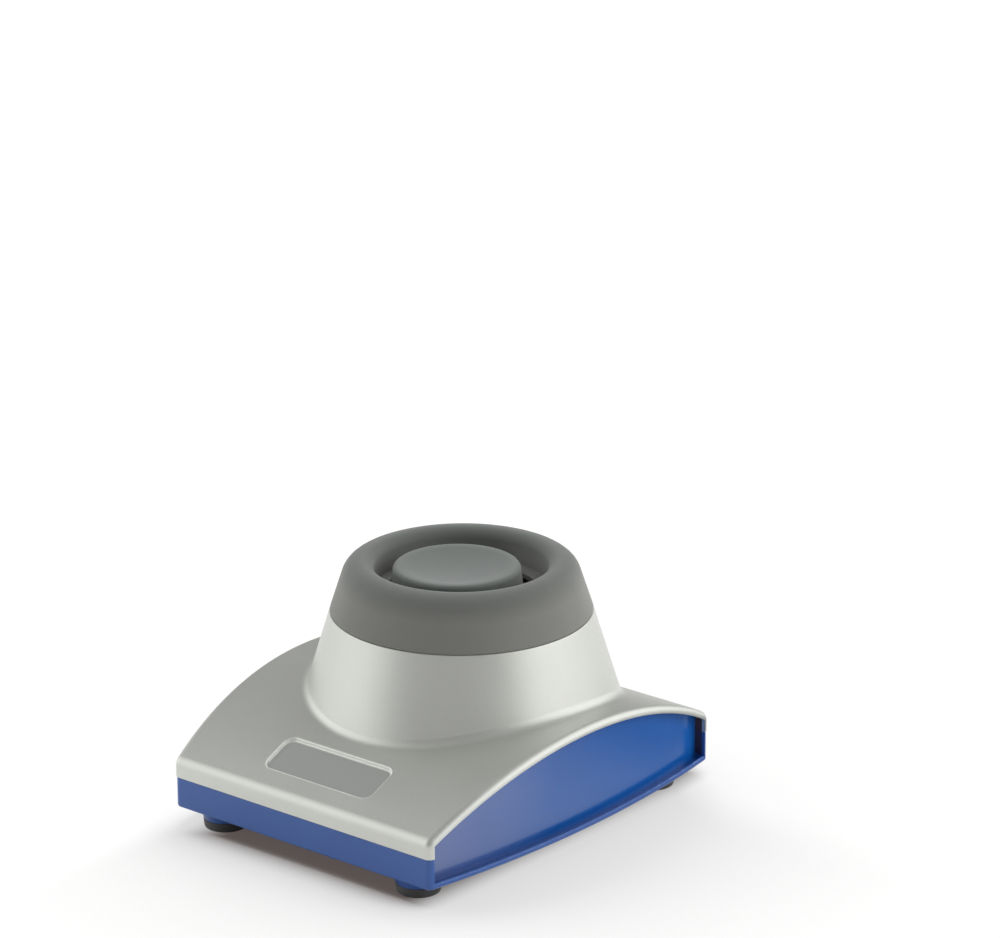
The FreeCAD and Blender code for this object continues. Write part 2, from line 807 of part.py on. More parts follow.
def make_base_shell():
    body = new_body("base_shell")
    plan = new_sketch(body, "XY", d.base_bottom)
    draw_outline(plan, *bowed_plan(d.base_step))
    extrude(body, plan, d.seam_height - d.base_bottom)
    soften(body, d.corner_round, is_corner)
    soften(body, d.base_edge_round, lambda edge: is_level(edge, d.base_bottom))

    tray = new_sketch(body, "XY", floor_top)
    wide = half_width + 2 * d.side_bow
    draw_outline(tray, box_corners(-wide, -inner_depth, wide, inner_depth))
    extrude(body, tray, d.seam_height, cut=True, reverse=True)
    soften(body, d.seam_round, is_seam_edge)
    for side in (-1, 1):
        groove = new_sketch(body, "XY", floor_top)
        panel_band(groove, side, d.base_step + d.side_lip)
        extrude(body, groove, d.groove_depth, cut=True)
    beyond_panel = half_width + d.side_bow - d.panel_inset
    soften(body, least(d.side_lip_round, 0.45 * d.side_lip),
           lambda edge: is_level(edge, floor_top) and abs(mid(edge).x) > beyond_panel.value)

    foot_bosses = new_sketch(body, "XY", d.base_bottom)
    for x, y in feet:
        draw_circle(foot_bosses, x, y, d.boss_radius)
    drop = d.base_bottom - d.foot_height
    pad = extrude(body, foot_bosses, drop, reverse=True)
    narrow = (d.boss_radius - d.boss_tip_radius) / drop
    pad.setExpression("TaperAngle", f"-atan({narrow.formula})")

    stud = new_sketch(body, "XY", d.base_bottom)
    draw_circle(stud, d.stud_x, d.stud_inset - half_depth, d.stud_radius)
    extrude(body, stud, d.stud_drop, reverse=True)

    laps = new_sketch(body, "XY", floor_top)
    for y in (-inner_depth, inner_depth - d.lap_thickness):
        draw_outline(laps, box_corners(-d.lap_length / 2, y, d.lap_length / 2,
                                       y + d.lap_thickness))
    extrude(body, laps, d.seam_height + d.lap_height - floor_top)

    uprights = new_sketch(body, "XY", floor_top)
    for x, y in posts:
        draw_circle(uprights, x, y, d.post_radius)
    rise = d.post_top - floor_top
    extrude(body, uprights, rise, draft=-d.post_draft)

    cradle = new_sketch(body, "XY", floor_top)
    for grow in (d.cradle_wall, Size.of(0)):
        x, y = d.switch_length / 2 + grow, d.switch_width / 2 + grow
        draw_outline(cradle, box_corners(-x, axis_back - y, x, axis_back + y))
    extrude(body, cradle, d.cradle_height)

    standoffs = new_sketch(body, "XY", floor_top)
    for x, y in board_holes():
        draw_circle(standoffs, x, y, d.standoff_radius)
    extrude(body, standoffs, d.standoff_height)

    recess = new_sketch(body, "XY", d.foot_height)
    for x, y in feet:
        draw_circle(recess, x, y, d.foot_stem_radius)
    extrude(body, recess, screw_seat - d.foot_height, cut=True, reverse=True)
    screw_holes = new_sketch(body, "XY", d.foot_height)
    for x, y in feet:
        draw_circle(screw_holes, x, y, d.screw_shank_radius)
    extrude(body, screw_holes, floor_top, cut=True, reverse=True)

    guides = new_sketch(body, "XY", d.post_top)
    for x, y in posts:
        draw_circle(guides, x, y, d.guide_radius)
    extrude(body, guides, d.guide_thread, cut=True)
    pilots = new_sketch(body, "XY", floor_top + d.standoff_height)
    for x, y in board_holes():
        draw_circle(pilots, x, y, d.board_screw_radius)
    extrude(body, pilots, d.standoff_height, cut=True)

    inlet = new_sketch(body, "XZ", -half_depth - OVERCUT)
    draw_circle(inlet, 0, d.inlet_height, d.inlet_radius)
    extrude(body, inlet, d.end_wall + d.lap_thickness + 2 * OVERCUT, cut=True, reverse=True)
    keep(body, "base_shell")


def board_holes():
    x = d.board_length / 2 - d.board_margin
    y = d.board_width / 2 - d.board_margin
    return [(side * x, -board_forward + end * y) for side in (-1, 1) for end in (-1, 1)]


def make_feet():
    stem_top = d.foot_height + d.foot_stem_length
    bevel = d.foot_bevel
    profile = [(0, 0), (d.foot_radius - bevel, 0), (d.foot_radius, bevel),
               (d.foot_radius, d.foot_height - bevel), (d.foot_radius - bevel, d.foot_height),
               (d.foot_stem_radius, d.foot_height), (d.foot_stem_radius, stem_top), (0, stem_top)]
    master = turned("rubber_foot", profile)
    group("rubber_feet", master, [(x, y, 0) for x, y in feet])


def screw_profile(shank, head, head_height, length, down=True):
    """Half a socket screw with its head's seat at height 0, pointing down or up."""
    sign = -1 if down else 1
    tall = -sign * head_height
    deep = -sign * (head_height - d.socket_depth)
    return [(0, deep), (d.socket_radius, deep), (d.socket_radius, tall), (head, tall),
            (head, 0), (shank, 0), (shank, sign * length), (0, sign * length)]


def make_case_screws():
    profile = screw_profile(d.screw_shank_radius, d.screw_head_radius, d.screw_head_height,
                            d.screw_length, down=False)
    master = turned("case_screw", profile)
    group("case_screws", master, [(x, y, screw_seat) for x, y in feet])


# Rubber collar

def make_collar():
    """An inverted trough of rubber that grips the neck's spigot and ends in a drip lip."""
    top = d.collar_seam + d.collar_height
    shoulder = d.neck_radius - d.collar_lean
    mouth = shoulder - d.rim_width
    slant = root(d.collar_lean * d.collar_lean + d.collar_height * d.collar_height)
    shoulder_run = d.shoulder_round * root((slant - d.collar_lean) / (slant + d.collar_lean))
    mouth_round = least(d.mouth_round, d.rim_width - shoulder_run)
    leg = mouth + d.collar_wall
    lip = mouth - d.lip_width
    under = top - d.collar_crown
    lip_top = d.lip_height + d.lip_thickness
    profile = [
        (d.neck_radius, d.collar_seam, d.collar_edge_round),
        (shoulder, top, d.shoulder_round),
        (mouth, top, mouth_round),
        (mouth, lip_top),
        (lip, lip_top),
        (lip, d.lip_height),
        (leg, d.lip_height),
        (leg, under),
        (spigot_tip, under),
        (spigot_tip, spigot_top),
        (spigot_radius, d.collar_seam),
    ]
    turned("rubber_collar", profile, "rubber_collar", axis)


# Head: cup, platform and bearing

def make_cup():
    bottom = skirt_top
    shoulder = d.cup_top - d.cup_taper_height
    top_radius = d.cup_radius - d.cup_taper
    dish_radius = top_radius - d.cup_rim
    dish_floor = d.cup_top - d.dish_depth
    dish_sphere = (dish_radius * dish_radius + d.dish_depth * d.dish_depth) / (2 * d.dish_depth)
    body = new_body("vortex_cup")
    sketch = new_sketch(body, "XZ")
    draw_outline(sketch, [
        (d.head_boss_radius, bottom), (d.cup_radius, bottom), (d.cup_radius, shoulder),
        (top_radius, d.cup_top, d.cup_edge_round), (dish_radius, d.cup_top),
        (0, dish_floor), (0, d.head_boss_top), (d.head_boss_radius, d.head_boss_top),
    ], {4: -dish_sphere})
    spin(body, sketch)
    place(body, *pin_spot)
    keep(body, "vortex_cup")


def make_head_platform():
    pocket_top = race_top + 2 * d.clip_thickness + d.clip_pocket_spare
    profile = [
        (d.bearing_outer, head_bottom), (d.skirt_radius, head_bottom),
        (d.skirt_radius, skirt_top), (d.head_boss_radius, skirt_top),
        (d.head_boss_radius, d.head_boss_top), (0, d.head_boss_top), (0, pocket_top),
        (d.clip_pocket_radius, pocket_top), (d.clip_pocket_radius, race_top),
        (d.bearing_outer, race_top),
    ]
    turned("head_platform", profile, "head_platform", pin_spot)


def make_bearing():
    """A deep-groove ball bearing: two grooved races and a ring of balls."""
    middle = race_bottom + d.bearing_width / 2
    track = d.ball_radius + d.ball_clearance

    def race(label, inner, outer, track_side):
        depth = track_side - ball_circle
        half = root(track * track - depth * depth)
        corners = ring(inner, outer, race_bottom, race_top)
        side = 2 if track_side is outer else 4
        levels = (middle - half, middle + half) if side == 2 else (middle + half, middle - half)
        corners[side:side] = [(track_side, level) for level in levels]
        body = new_body(label)
        draw_outline(new_sketch(body, "XZ"), corners, {side: -track})
        spin(body, body.Group[0])
        place(body, *pin_spot)
        keep(body, label)
    inner_edge = d.pin_radius + d.race_wall
    outer_edge = d.bearing_outer - d.race_wall
    race("bearing_inner_race", d.pin_radius, inner_edge, inner_edge)
    race("bearing_outer_race", outer_edge, d.bearing_outer, outer_edge)

    ball = doc.addObject("Part::Sphere", "bearing_ball")
    bind(ball, "Radius", d.ball_radius)
    spots = round_axis(ball_circle, int(d.ball_count.value), middle=pin_spot[1])
    group("bearing_balls", ball, [(x, y, middle) for x, y in spots])

    clip_bottom = race_top + d.clip_gap
    turned("bearing_clip", ring(d.pin_radius, d.clip_radius, clip_bottom,
                                clip_bottom + d.clip_thickness), "bearing_clip", pin_spot)


# Rotor: shaft, eccentric hub and balance weight

def make_shaft():
    bottom = motor_bottom + d.cap_floor + d.shaft_end_gap
    length = hub_top - d.hub_blind - bottom
    keep(cylinder("motor_shaft", d.shaft_radius, length, *axis, bottom), "motor_shaft")


def make_eccentric_hub():
    body = new_body("eccentric_hub")
    hub = new_sketch(body, "XZ")
    bore_top = hub_top - d.hub_blind
    draw_outline(hub, [(d.shaft_radius, d.hub_bottom), (d.hub_radius, d.hub_bottom),
                       (d.hub_radius, hub_top), (0, hub_top), (0, bore_top),
                       (d.shaft_radius, bore_top)])
    spin(body, hub)
    shoulder = new_sketch(body, "XY", hub_top)
    draw_circle(shoulder, 0, -d.orbit_offset, d.pin_shoulder_radius)
    extrude(body, shoulder, d.pin_shoulder)
    pin = new_sketch(body, "XY", race_bottom)
    draw_circle(pin, 0, -d.orbit_offset, d.pin_radius)
    extrude(body, pin, d.bearing_width + 2 * d.clip_thickness)
    set_hole = new_sketch(body, "XZ")
    draw_circle(set_hole, 0, set_screw_height(), d.set_screw_radius)
    extrude(body, set_hole, d.hub_radius + OVERCUT, cut=True)
    place(body, *axis)
    keep(body, "eccentric_hub")


def weight_bottom():
    return d.hub_bottom + d.weight_lift


def set_screw_height():
    return weight_bottom() + d.weight_thickness / 2


def make_weight():
    bottom = weight_bottom()
    half = cylinder("weight_half", d.weight_radius, d.weight_thickness, z=bottom, angle=180)
    collar = cylinder("weight_collar", d.weight_ring, d.weight_thickness, z=bottom)
    blank = fuse("weight_blank", half, collar)
    bore = cylinder("weight_bore", d.hub_radius, d.weight_thickness, z=bottom)
    drilled = combine("Cut", "weight_bored", blank, bore)
    hole = cylinder("weight_screw_hole", d.set_screw_radius, d.weight_radius + OVERCUT)
    hole.Placement = Placement(Vector(0, 0, 0), Rotation(Vector(1, 0, 0), -90))
    bind(hole, ".Placement.Base.z", set_screw_height())
    weight = combine("Cut", "weight_finished", drilled, hole)
    place(weight, *axis)
    keep(weight, "counterweight")


def make_set_screw():
    screw = cylinder("set_screw", d.set_screw_radius, d.set_screw_length)
    screw.Placement = Placement(Vector(0, 0, 0), Rotation(Vector(1, 0, 0), -90))
    place(screw, 0, axis_back + d.shaft_radius, set_screw_height())
    keep(screw, "hub_set_screw")


# Motor

def make_motor_case():
    inner_top = d.plate_bottom - d.can_wall
    boss_top = d.plate_bottom + d.neck_boss_height
    body = turned("motor_can", [
        (d.bushing_radius, inner_top), (can_inner, inner_top), (can_inner, can_bottom),
        (d.motor_radius, can_bottom), (d.motor_radius, d.plate_bottom, d.can_wall),
        (d.neck_boss_radius, d.plate_bottom), (d.neck_boss_radius, boss_top),
        (d.bushing_radius, boss_top)])
    holes = new_sketch(body, "XY", d.plate_bottom)
    for x, y in motor_screw_spots():
        draw_circle(holes, x, y, d.screw_shank_radius)
    extrude(body, holes, 2 * d.can_wall, cut=True)
    place(body, *axis)
    keep(body, "motor_can")
    turned("upper_bushing", ring(d.shaft_radius + d.running_gap, d.bushing_radius,
                                 boss_top - d.bushing_length, boss_top), "upper_bushing", axis)


def motor_screw_spots():
    return [(d.motor_screw_circle, Size.of(0)), (-d.motor_screw_circle, Size.of(0))]


def make_end_cap():
    """The moulded cap that closes the can and carries the lower bushing and the leaves."""
    seat = motor_bottom + d.cap_floor
    boss_top = seat + d.bushing_length
    plug_top = can_bottom + d.cap_depth
    body = turned("motor_end_cap", [
        (0, motor_bottom), (d.motor_radius, motor_bottom), (d.motor_radius, can_bottom),
        (can_inner, can_bottom), (can_inner, plug_top), (d.cap_boss_radius, plug_top),
        (d.cap_boss_radius, boss_top), (d.bushing_radius, boss_top), (d.bushing_radius, seat),
        (0, seat)])
    slots = new_sketch(body, "XY", motor_bottom)
    for side in (-1, 1):
        x = side * (leaf_reach + d.leaf_thickness / 2)
        draw_outline(slots, box_corners(x - d.leaf_thickness / 2, -d.leaf_width / 2,
                                        x + d.leaf_thickness / 2, d.leaf_width / 2))
    extrude(body, slots, d.motor_length, cut=True, reverse=True)
    place(body, *axis)
    keep(body, "motor_end_cap")
    turned("lower_bushing", ring(d.shaft_radius + d.running_gap, d.bushing_radius, seat,
                                 boss_top), "lower_bushing", axis)


def make_brush_gear():
    """Carbon brushes on brass leaves whose tails are the motor's terminals."""
    brush = block("brush", d.brush_length, d.brush_width, d.brush_width)
    leaf_top = brush_height + d.brush_width / 2
    tail = motor_bottom - d.tab_length
    leaf = block("leaf", d.leaf_thickness, d.leaf_width, leaf_top - tail)
    inner = d.commutator_radius + d.running_gap
    brushes, leaves = [], []
    for side in (-1, 1):
        brush_x = side * (inner + d.brush_length / 2)
        leaf_x = side * (leaf_reach + d.leaf_thickness / 2)
        brushes.append((brush_x - d.brush_length / 2, axis_back - d.brush_width / 2,
                        brush_height - d.brush_width / 2))
        leaves.append((leaf_x - d.leaf_thickness / 2, axis_back - d.leaf_width / 2, tail))
    group("brushes", brush, brushes)
    group("motor_terminals", leaf, leaves)


def make_magnets():
    outer = cylinder("magnet_outer", magnet_outer, d.magnet_length, angle=d.magnet_angle)
    inner = cylinder("magnet_inner", magnet_inner, d.magnet_length)
    arc = combine("Cut", "magnet_arc", outer, inner)
    start = core_bottom + d.core_length / 2 - d.magnet_length / 2
    turns = [middle - d.magnet_angle / 2 for middle in (90, 270)]
    group("field_magnets", arc, [(*axis, start)] * len(turns), turns)


def make_armature():
    """A round blank of laminations with winding slots between its poles."""
    body = new_body("armature_core")
    blank = new_sketch(body, "XY", core_bottom)
    draw_circle(blank, 0, 0, core_radius)
    draw_circle(blank, 0, 0, d.shaft_radius)
    extrude(body, blank, d.core_length)
    slot = new_sketch(body, "XY", core_top)
    sin60, cos60 = math.sin(math.pi / POLES), math.cos(math.pi / POLES)
    half_neck = d.pole_neck / 2

    def neck_line(x):
        return (sin60 * x - half_neck) / cos60
    inner = d.pole_hub
    reach = core_radius - d.shoe_depth
    swing = root(reach * reach - half_neck * half_neck)
    outer = (cos60 * swing + sin60 * half_neck, sin60 * swing - cos60 * half_neck)
    lip = core_radius - d.shoe_depth
    mouth = core_radius + OVERCUT
    gap = d.slot_opening / 2
    draw_outline(slot, [
        (inner, -neck_line(inner)), (outer[0], -outer[1]), (lip, -gap), (mouth, -gap),
        (mouth, gap), (lip, gap), (outer[0], outer[1]), (inner, neck_line(inner))])
    pocket = extrude(body, slot, d.core_length, cut=True)
    repeat_round(body, slot, pocket)
    place(body, *axis)
    keep(body, "armature_core")


def make_windings():
    width = d.pole_neck
    outer = block("coil_outer_box", d.coil_outer - d.coil_inner, d.coil_width,
                  d.core_length + 2 * d.coil_overhang)
    inner = block("coil_inner_box", d.coil_outer - d.coil_inner, width, d.core_length)
    place(outer, d.coil_inner, -d.coil_width / 2, -d.coil_overhang)
    place(inner, d.coil_inner, -width / 2, 0)
    coil = combine("Cut", "coil", outer, inner)
    turns = [360 * (number + 0.5) / POLES for number in range(POLES)]
    group("armature_windings", coil, [(*axis, core_bottom)] * POLES, turns)


def make_commutator():
    bottom = commutator_top - d.commutator_length
    body = turned("commutator", ring(d.shaft_radius, d.commutator_radius, bottom,
                                     commutator_top))
    slit = new_sketch(body, "XY", commutator_top)
    inner = d.shaft_radius + d.commutator_web
    half = d.commutator_slit / 2
    draw_outline(slit, box_corners(inner, -half, d.commutator_radius + OVERCUT, half))
    pocket = extrude(body, slit, d.commutator_length, cut=True)
    repeat_round(body, slit, pocket)
    place(body, *axis)
    keep(body, "commutator")


# Carriage plate, guides and springs

def make_motor_plate():
    """A tri-lobed plate that carries the motor and slides on three guide screws."""
    body = new_body("motor_plate")
    blank = new_sketch(body, "XY", d.plate_bottom)
    draw_circle(blank, 0, 0, d.plate_radius)
    draw_circle(blank, 0, 0, d.neck_boss_radius)
    for x, y in motor_screw_spots():
        draw_circle(blank, x, y, d.screw_shank_radius)
    for x, y in posts:
        draw_circle(blank, x, y - axis_back, d.guide_radius + d.guide_clearance + d.bush_wall)
    extrude(body, blank, d.plate_thickness)
    scallop = new_sketch(body, "XY", plate_top)
    draw_circle(scallop, 0, -d.plate_scallop_centre, d.plate_scallop)
    pocket = extrude(body, scallop, d.plate_thickness, cut=True)
    repeat_round(body, scallop, pocket)
    place(body, *axis)
    keep(body, "motor_plate")


def make_plate_bushes():
    inner = d.guide_radius + d.guide_clearance
    outer = inner + d.bush_wall
    profile = [(inner, d.plate_bottom), (outer, d.plate_bottom), (outer, plate_top),
               (d.bush_flange_radius, plate_top), (d.bush_flange_radius, bush_top),
               (inner, bush_top)]
    master = turned("plate_bush", profile)
    group("plate_bushes", master, [(x, y, 0) for x, y in posts])


def make_guide_screws():
    length = guide_seat - d.post_top + d.guide_thread
    master = turned("guide_screw", screw_profile(d.guide_radius, d.guide_head_radius,
                                                 d.guide_head_height, length))
    group("guide_screws", master, [(x, y, guide_seat) for x, y in posts])


def make_motor_screws():
    master = turned("motor_screw", screw_profile(d.screw_shank_radius, d.screw_head_radius,
                                                 d.screw_head_height, d.motor_screw_length))
    group("motor_screws", master, [(x, axis_back + y, plate_top) for x, y in motor_screw_spots()])


def make_springs():
    """Coil springs between the posts and the plate, of six-sided wire, round the guide screws."""
    height = d.plate_bottom - d.post_top - d.spring_wire
    path = doc.addObject("Part::Helix", "spring_path")
    bind(path, "Radius", d.spring_radius)
    bind(path, "Height", height)
    bind(path, "Pitch", height / d.spring_turns)
    section = doc.addObject("Part::RegularPolygon", "spring_section")
    section.Polygon = 6
    bind(section, "Circumradius", d.spring_wire / 2)
    section.Placement = Placement(Vector(0, 0, 0), Rotation(Vector(1, 0, 0), 90))
    bind(section, ".Placement.Base.x", d.spring_radius)
    coil = doc.addObject("Part::Sweep", "spring_coil")
    coil.Sections = [section]
    doc.recompute()
    coil.Spine = (path, [f"Edge{n + 1}" for n in range(len(path.Shape.Edges))])
    coil.Solid = True
    coil.Frenet = True
    group("return_springs", coil, [(x, y, d.post_top + d.spring_wire / 2) for x, y in posts])


# Switch, inlet and circuit board

def make_switch():
    case = block("switch_case", d.switch_length, d.switch_width, d.switch_height)
    top = floor_top + d.switch_height
    depth = d.button_inside + d.press_travel + d.button_spare
    hole = cylinder("switch_hole", d.button_radius + d.button_clearance, depth)
    place(hole, *axis, top - depth)
    place(case, -d.switch_length / 2, axis_back - d.switch_width / 2, floor_top)
    keep(combine("Cut", "switch_body", case, hole), "microswitch")
    bottom = top - d.button_inside
    button = cylinder("switch_button", d.button_radius, motor_bottom - d.button_gap - bottom)
    place(button, *axis, bottom)
    keep(button, "switch_plunger")


def make_inlet():
    """A round power inlet in the rear wall with its contact pin inside the barrel."""
    face = half_depth - d.base_step
    wall = d.end_wall + d.lap_thickness - d.base_step
    body = new_body("dc_inlet")
    barrel = new_sketch(body, "XZ", -face)
    draw_circle(barrel, 0, d.inlet_height, d.inlet_radius)
    extrude(body, barrel, wall)
    box = new_sketch(body, "XZ", wall - face)
    half = d.inlet_box_width / 2
    box_top = d.inlet_height + d.inlet_radius + d.lap_thickness
    draw_outline(box, box_corners(-half, floor_top, half, box_top))
    extrude(body, box, d.inlet_box_length)
    bore = new_sketch(body, "XZ", -face)
    draw_circle(bore, 0, d.inlet_height, d.inlet_bore_radius)
    extrude(body, bore, d.inlet_bore_depth, cut=True, reverse=True)
    keep(body, "dc_inlet")
    pin = cylinder("inlet_pin", d.inlet_pin_radius, d.inlet_bore_depth - d.inlet_pin_back)
    pin.Placement = Placement(Vector(0, 0, 0), Rotation(Vector(1, 0, 0), -90))
    place(pin, 0, face - d.inlet_bore_depth, d.inlet_height)
    keep(pin, "dc_inlet_pin")


def make_board():
    bottom = floor_top + d.standoff_height
    top = bottom + d.board_thickness
    body = new_body("circuit_board")
    blank = new_sketch(body, "XY", bottom)
    x, y = d.board_length / 2, d.board_width / 2
    draw_outline(blank, box_corners(-x, -board_forward - y, x, -board_forward + y))
    for hole_x, hole_y in board_holes():
        draw_circle(blank, hole_x, hole_y, d.board_screw_radius)
    extrude(body, blank, d.board_thickness)
    keep(body, "circuit_board")

    length = d.board_thickness + d.standoff_height - d.board_screw_spare
    radius, head = d.board_screw_radius, d.board_screw_head
    master = turned("board_screw", [(0, radius), (radius, radius), (head, radius / 2), (head, 0),
                                    (radius, 0), (radius, -length), (0, -length)])
    group("board_screws", master, [(hx, hy, top) for hx, hy in board_holes()])

    can = cylinder("capacitor", d.capacitor_radius, d.capacitor_height)
    place(can, -d.part_spacing, -board_forward, top)
    keep(can, "filter_capacitor")
    chip = block("transistor", d.transistor_width, d.transistor_thickness, d.transistor_height)
    place(chip, -d.transistor_width / 2, -board_forward - d.transistor_thickness / 2, top)
    keep(chip, "drive_transistor")
    plug = block("plug", d.plug_length, d.plug_width, d.plug_height)
    place(plug, d.part_spacing - d.plug_length / 2, -board_forward - d.plug_width / 2, top)
    keep(plug, "lead_connector")


make_top_cover()
make_side_panel("side_panel_right", 1)
make_side_panel("side_panel_left", -1)
make_base_shell()
make_feet()
make_case_screws()
make_collar()
make_cup()
make_head_platform()
make_bearing()
make_shaft()
make_eccentric_hub()
make_weight()
make_set_screw()
make_motor_case()
make_end_cap()
make_brush_gear()
make_magnets()
make_armature()
make_windings()
make_commutator()
make_motor_plate()
make_plate_bushes()
make_guide_screws()
make_motor_screws()
make_springs()
make_switch()
make_inlet()
make_board()
doc.recompute()

# Every object has to be sound before anything is written
faults = [f"{thing.Label}: {thing.State}" for thing in doc.Objects
          if "Invalid" in thing.State or "Error" in thing.State]
faults += [f"{piece.Label}: bad shape" for piece in pieces
           if piece.Shape.isNull() or not piece.Shape.isValid() or not piece.Shape.Solids]
if faults:
    raise RuntimeError("; ".join(faults))

os.makedirs("parts", exist_ok=True)
for piece in pieces:
    piece.Shape.exportStep(f"parts/{piece.Label}.step")
print(f"{len(pieces)} pieces, {sum(len(piece.Shape.Solids) for piece in pieces)} solids")
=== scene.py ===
import json
import math

import bpy
from mathutils import Matrix, Vector

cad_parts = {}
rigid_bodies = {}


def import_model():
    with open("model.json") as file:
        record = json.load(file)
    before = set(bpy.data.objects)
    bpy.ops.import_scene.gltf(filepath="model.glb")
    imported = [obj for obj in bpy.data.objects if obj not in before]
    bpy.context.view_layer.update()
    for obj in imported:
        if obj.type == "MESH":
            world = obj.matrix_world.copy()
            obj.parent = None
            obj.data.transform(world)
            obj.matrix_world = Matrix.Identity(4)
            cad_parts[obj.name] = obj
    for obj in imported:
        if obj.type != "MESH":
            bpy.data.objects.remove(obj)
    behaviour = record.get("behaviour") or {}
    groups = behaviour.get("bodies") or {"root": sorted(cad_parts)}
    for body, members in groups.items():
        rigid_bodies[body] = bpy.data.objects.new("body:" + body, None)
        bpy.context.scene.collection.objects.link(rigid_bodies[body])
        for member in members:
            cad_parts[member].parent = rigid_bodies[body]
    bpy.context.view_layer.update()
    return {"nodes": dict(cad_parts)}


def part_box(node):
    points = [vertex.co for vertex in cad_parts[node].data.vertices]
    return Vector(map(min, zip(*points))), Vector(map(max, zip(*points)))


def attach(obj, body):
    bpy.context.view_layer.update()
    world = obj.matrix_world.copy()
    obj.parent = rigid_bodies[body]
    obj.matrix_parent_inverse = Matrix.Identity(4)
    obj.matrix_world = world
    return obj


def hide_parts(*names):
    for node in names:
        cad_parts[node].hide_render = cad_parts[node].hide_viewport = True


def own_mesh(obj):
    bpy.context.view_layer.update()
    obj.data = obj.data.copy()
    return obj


# A small vortex mixer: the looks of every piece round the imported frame.
# Lengths are written in millimetres and go through mm() to metres. +Z is up, the front is -Y.


def mm(*lengths):
    """Millimetres as metres: one number, or a Vector of three."""
    scaled = [length * 0.001 for length in lengths]
    return scaled[0] if len(scaled) == 1 else Vector(scaled)


for leftover in list(bpy.data.objects):
    bpy.data.objects.remove(leftover)
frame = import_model()
nodes = frame["nodes"]

ORIGIN = Vector((0, 0, 0))


# Graphs of nodes, for finishes and for repeated shapes

class Value:
    """A node's output that sums can be written with; each sum adds a Math node."""

    def __init__(self, graph, socket):
        self.graph = graph
        self.socket = socket

    def math(self, operation, *terms):
        return self.graph.math(operation, self, *terms)

    def __add__(self, other):
        return self.graph.math("ADD", self, other)

    def __radd__(self, other):
        return self.graph.math("ADD", other, self)

    def __sub__(self, other):
        return self.graph.math("SUBTRACT", self, other)

    def __rsub__(self, other):
        return self.graph.math("SUBTRACT", other, self)

    def __mul__(self, other):
        return self.graph.math("MULTIPLY", self, other)

    def __truediv__(self, other):
        return self.graph.math("DIVIDE", self, other)

    def __pow__(self, other):
        return self.graph.math("POWER", self, other)


class Graph:
    """A node tree and the one way in which nodes are added to it."""

    def __init__(self, tree):
        self.tree = tree

    def node(self, kind, settings=None, inputs=None, output=0):
        made = self.tree.nodes.new(kind)
        for word, choice in (settings or {}).items():
            if word == "stops":
                self.set_stops(made.color_ramp, choice)
            else:
                setattr(made, word, choice)
        for socket, value in (inputs or {}).items():
            self.feed(made.inputs[socket], value)
        return Value(self, made.outputs[output])

    def set_stops(self, ramp, stops):
        while len(ramp.elements) < len(stops):
            ramp.elements.new(1.0)
        for element, (position, colour) in zip(ramp.elements, stops):
            element.position = position
            element.color = colour

    def feed(self, socket, value):
        if isinstance(value, Value):
            self.tree.links.new(value.socket, socket)
        else:
            socket.default_value = value

    def math(self, operation, *terms):
        return self.node("ShaderNodeMath", {"operation": operation}, dict(enumerate(terms)))

    def parts(self, vector):
        """The x, y and z of a vector."""
        split = self.tree.nodes.new("ShaderNodeSeparateXYZ")
        self.feed(split.inputs[0], vector)
        return [Value(self, socket) for socket in split.outputs]

    def blend(self, factor, first, second):
        """The first colour where the factor is 0, the second where it is 1."""
        made = self.tree.nodes.new("ShaderNodeMix")
        made.data_type = "RGBA"
        for socket, value in ((0, factor), (6, first), (7, second)):
            self.feed(made.inputs[socket], value)
        return Value(self, made.outputs[2])

    def fade(self, value, low, high, at_low, at_high):
        """A smooth step from at_low to at_high as value goes from low to high."""
        return self.node("ShaderNodeMapRange", {"interpolation_type": "SMOOTHSTEP"},
                         {"Value": value, "From Min": low, "From Max": high,
                          "To Min": at_low, "To Max": at_high})

    def rays(self, *kinds):
        """1 for rays of the kinds that are named, 0 for all others."""
        path = self.tree.nodes.new("ShaderNodeLightPath")
        first, *others = [Value(self, path.outputs[f"Is {kind} Ray"]) for kind in kinds]
        return sum(others, first).math("MINIMUM", 1)

    def open_share(self, reach):
        """How much of the sky a point sees past what stands within reach of it."""
        return self.node("ShaderNodeAmbientOcclusion", {"samples": 16}, {"Distance": reach}, "AO")

    def ending(self, kind, surface):
        self.feed(self.tree.nodes.new(kind).inputs["Surface"], surface)


def srgb(red, green, blue):
    """A colour as a screen shows it, 0 to 255, turned to the renderer's light values."""
    def light(part):
        share = part / 255
        return share / 12.92 if share <= 0.04045 else ((share + 0.055) / 1.055) ** 2.4
    return (light(red), light(green), light(blue), 1.0)


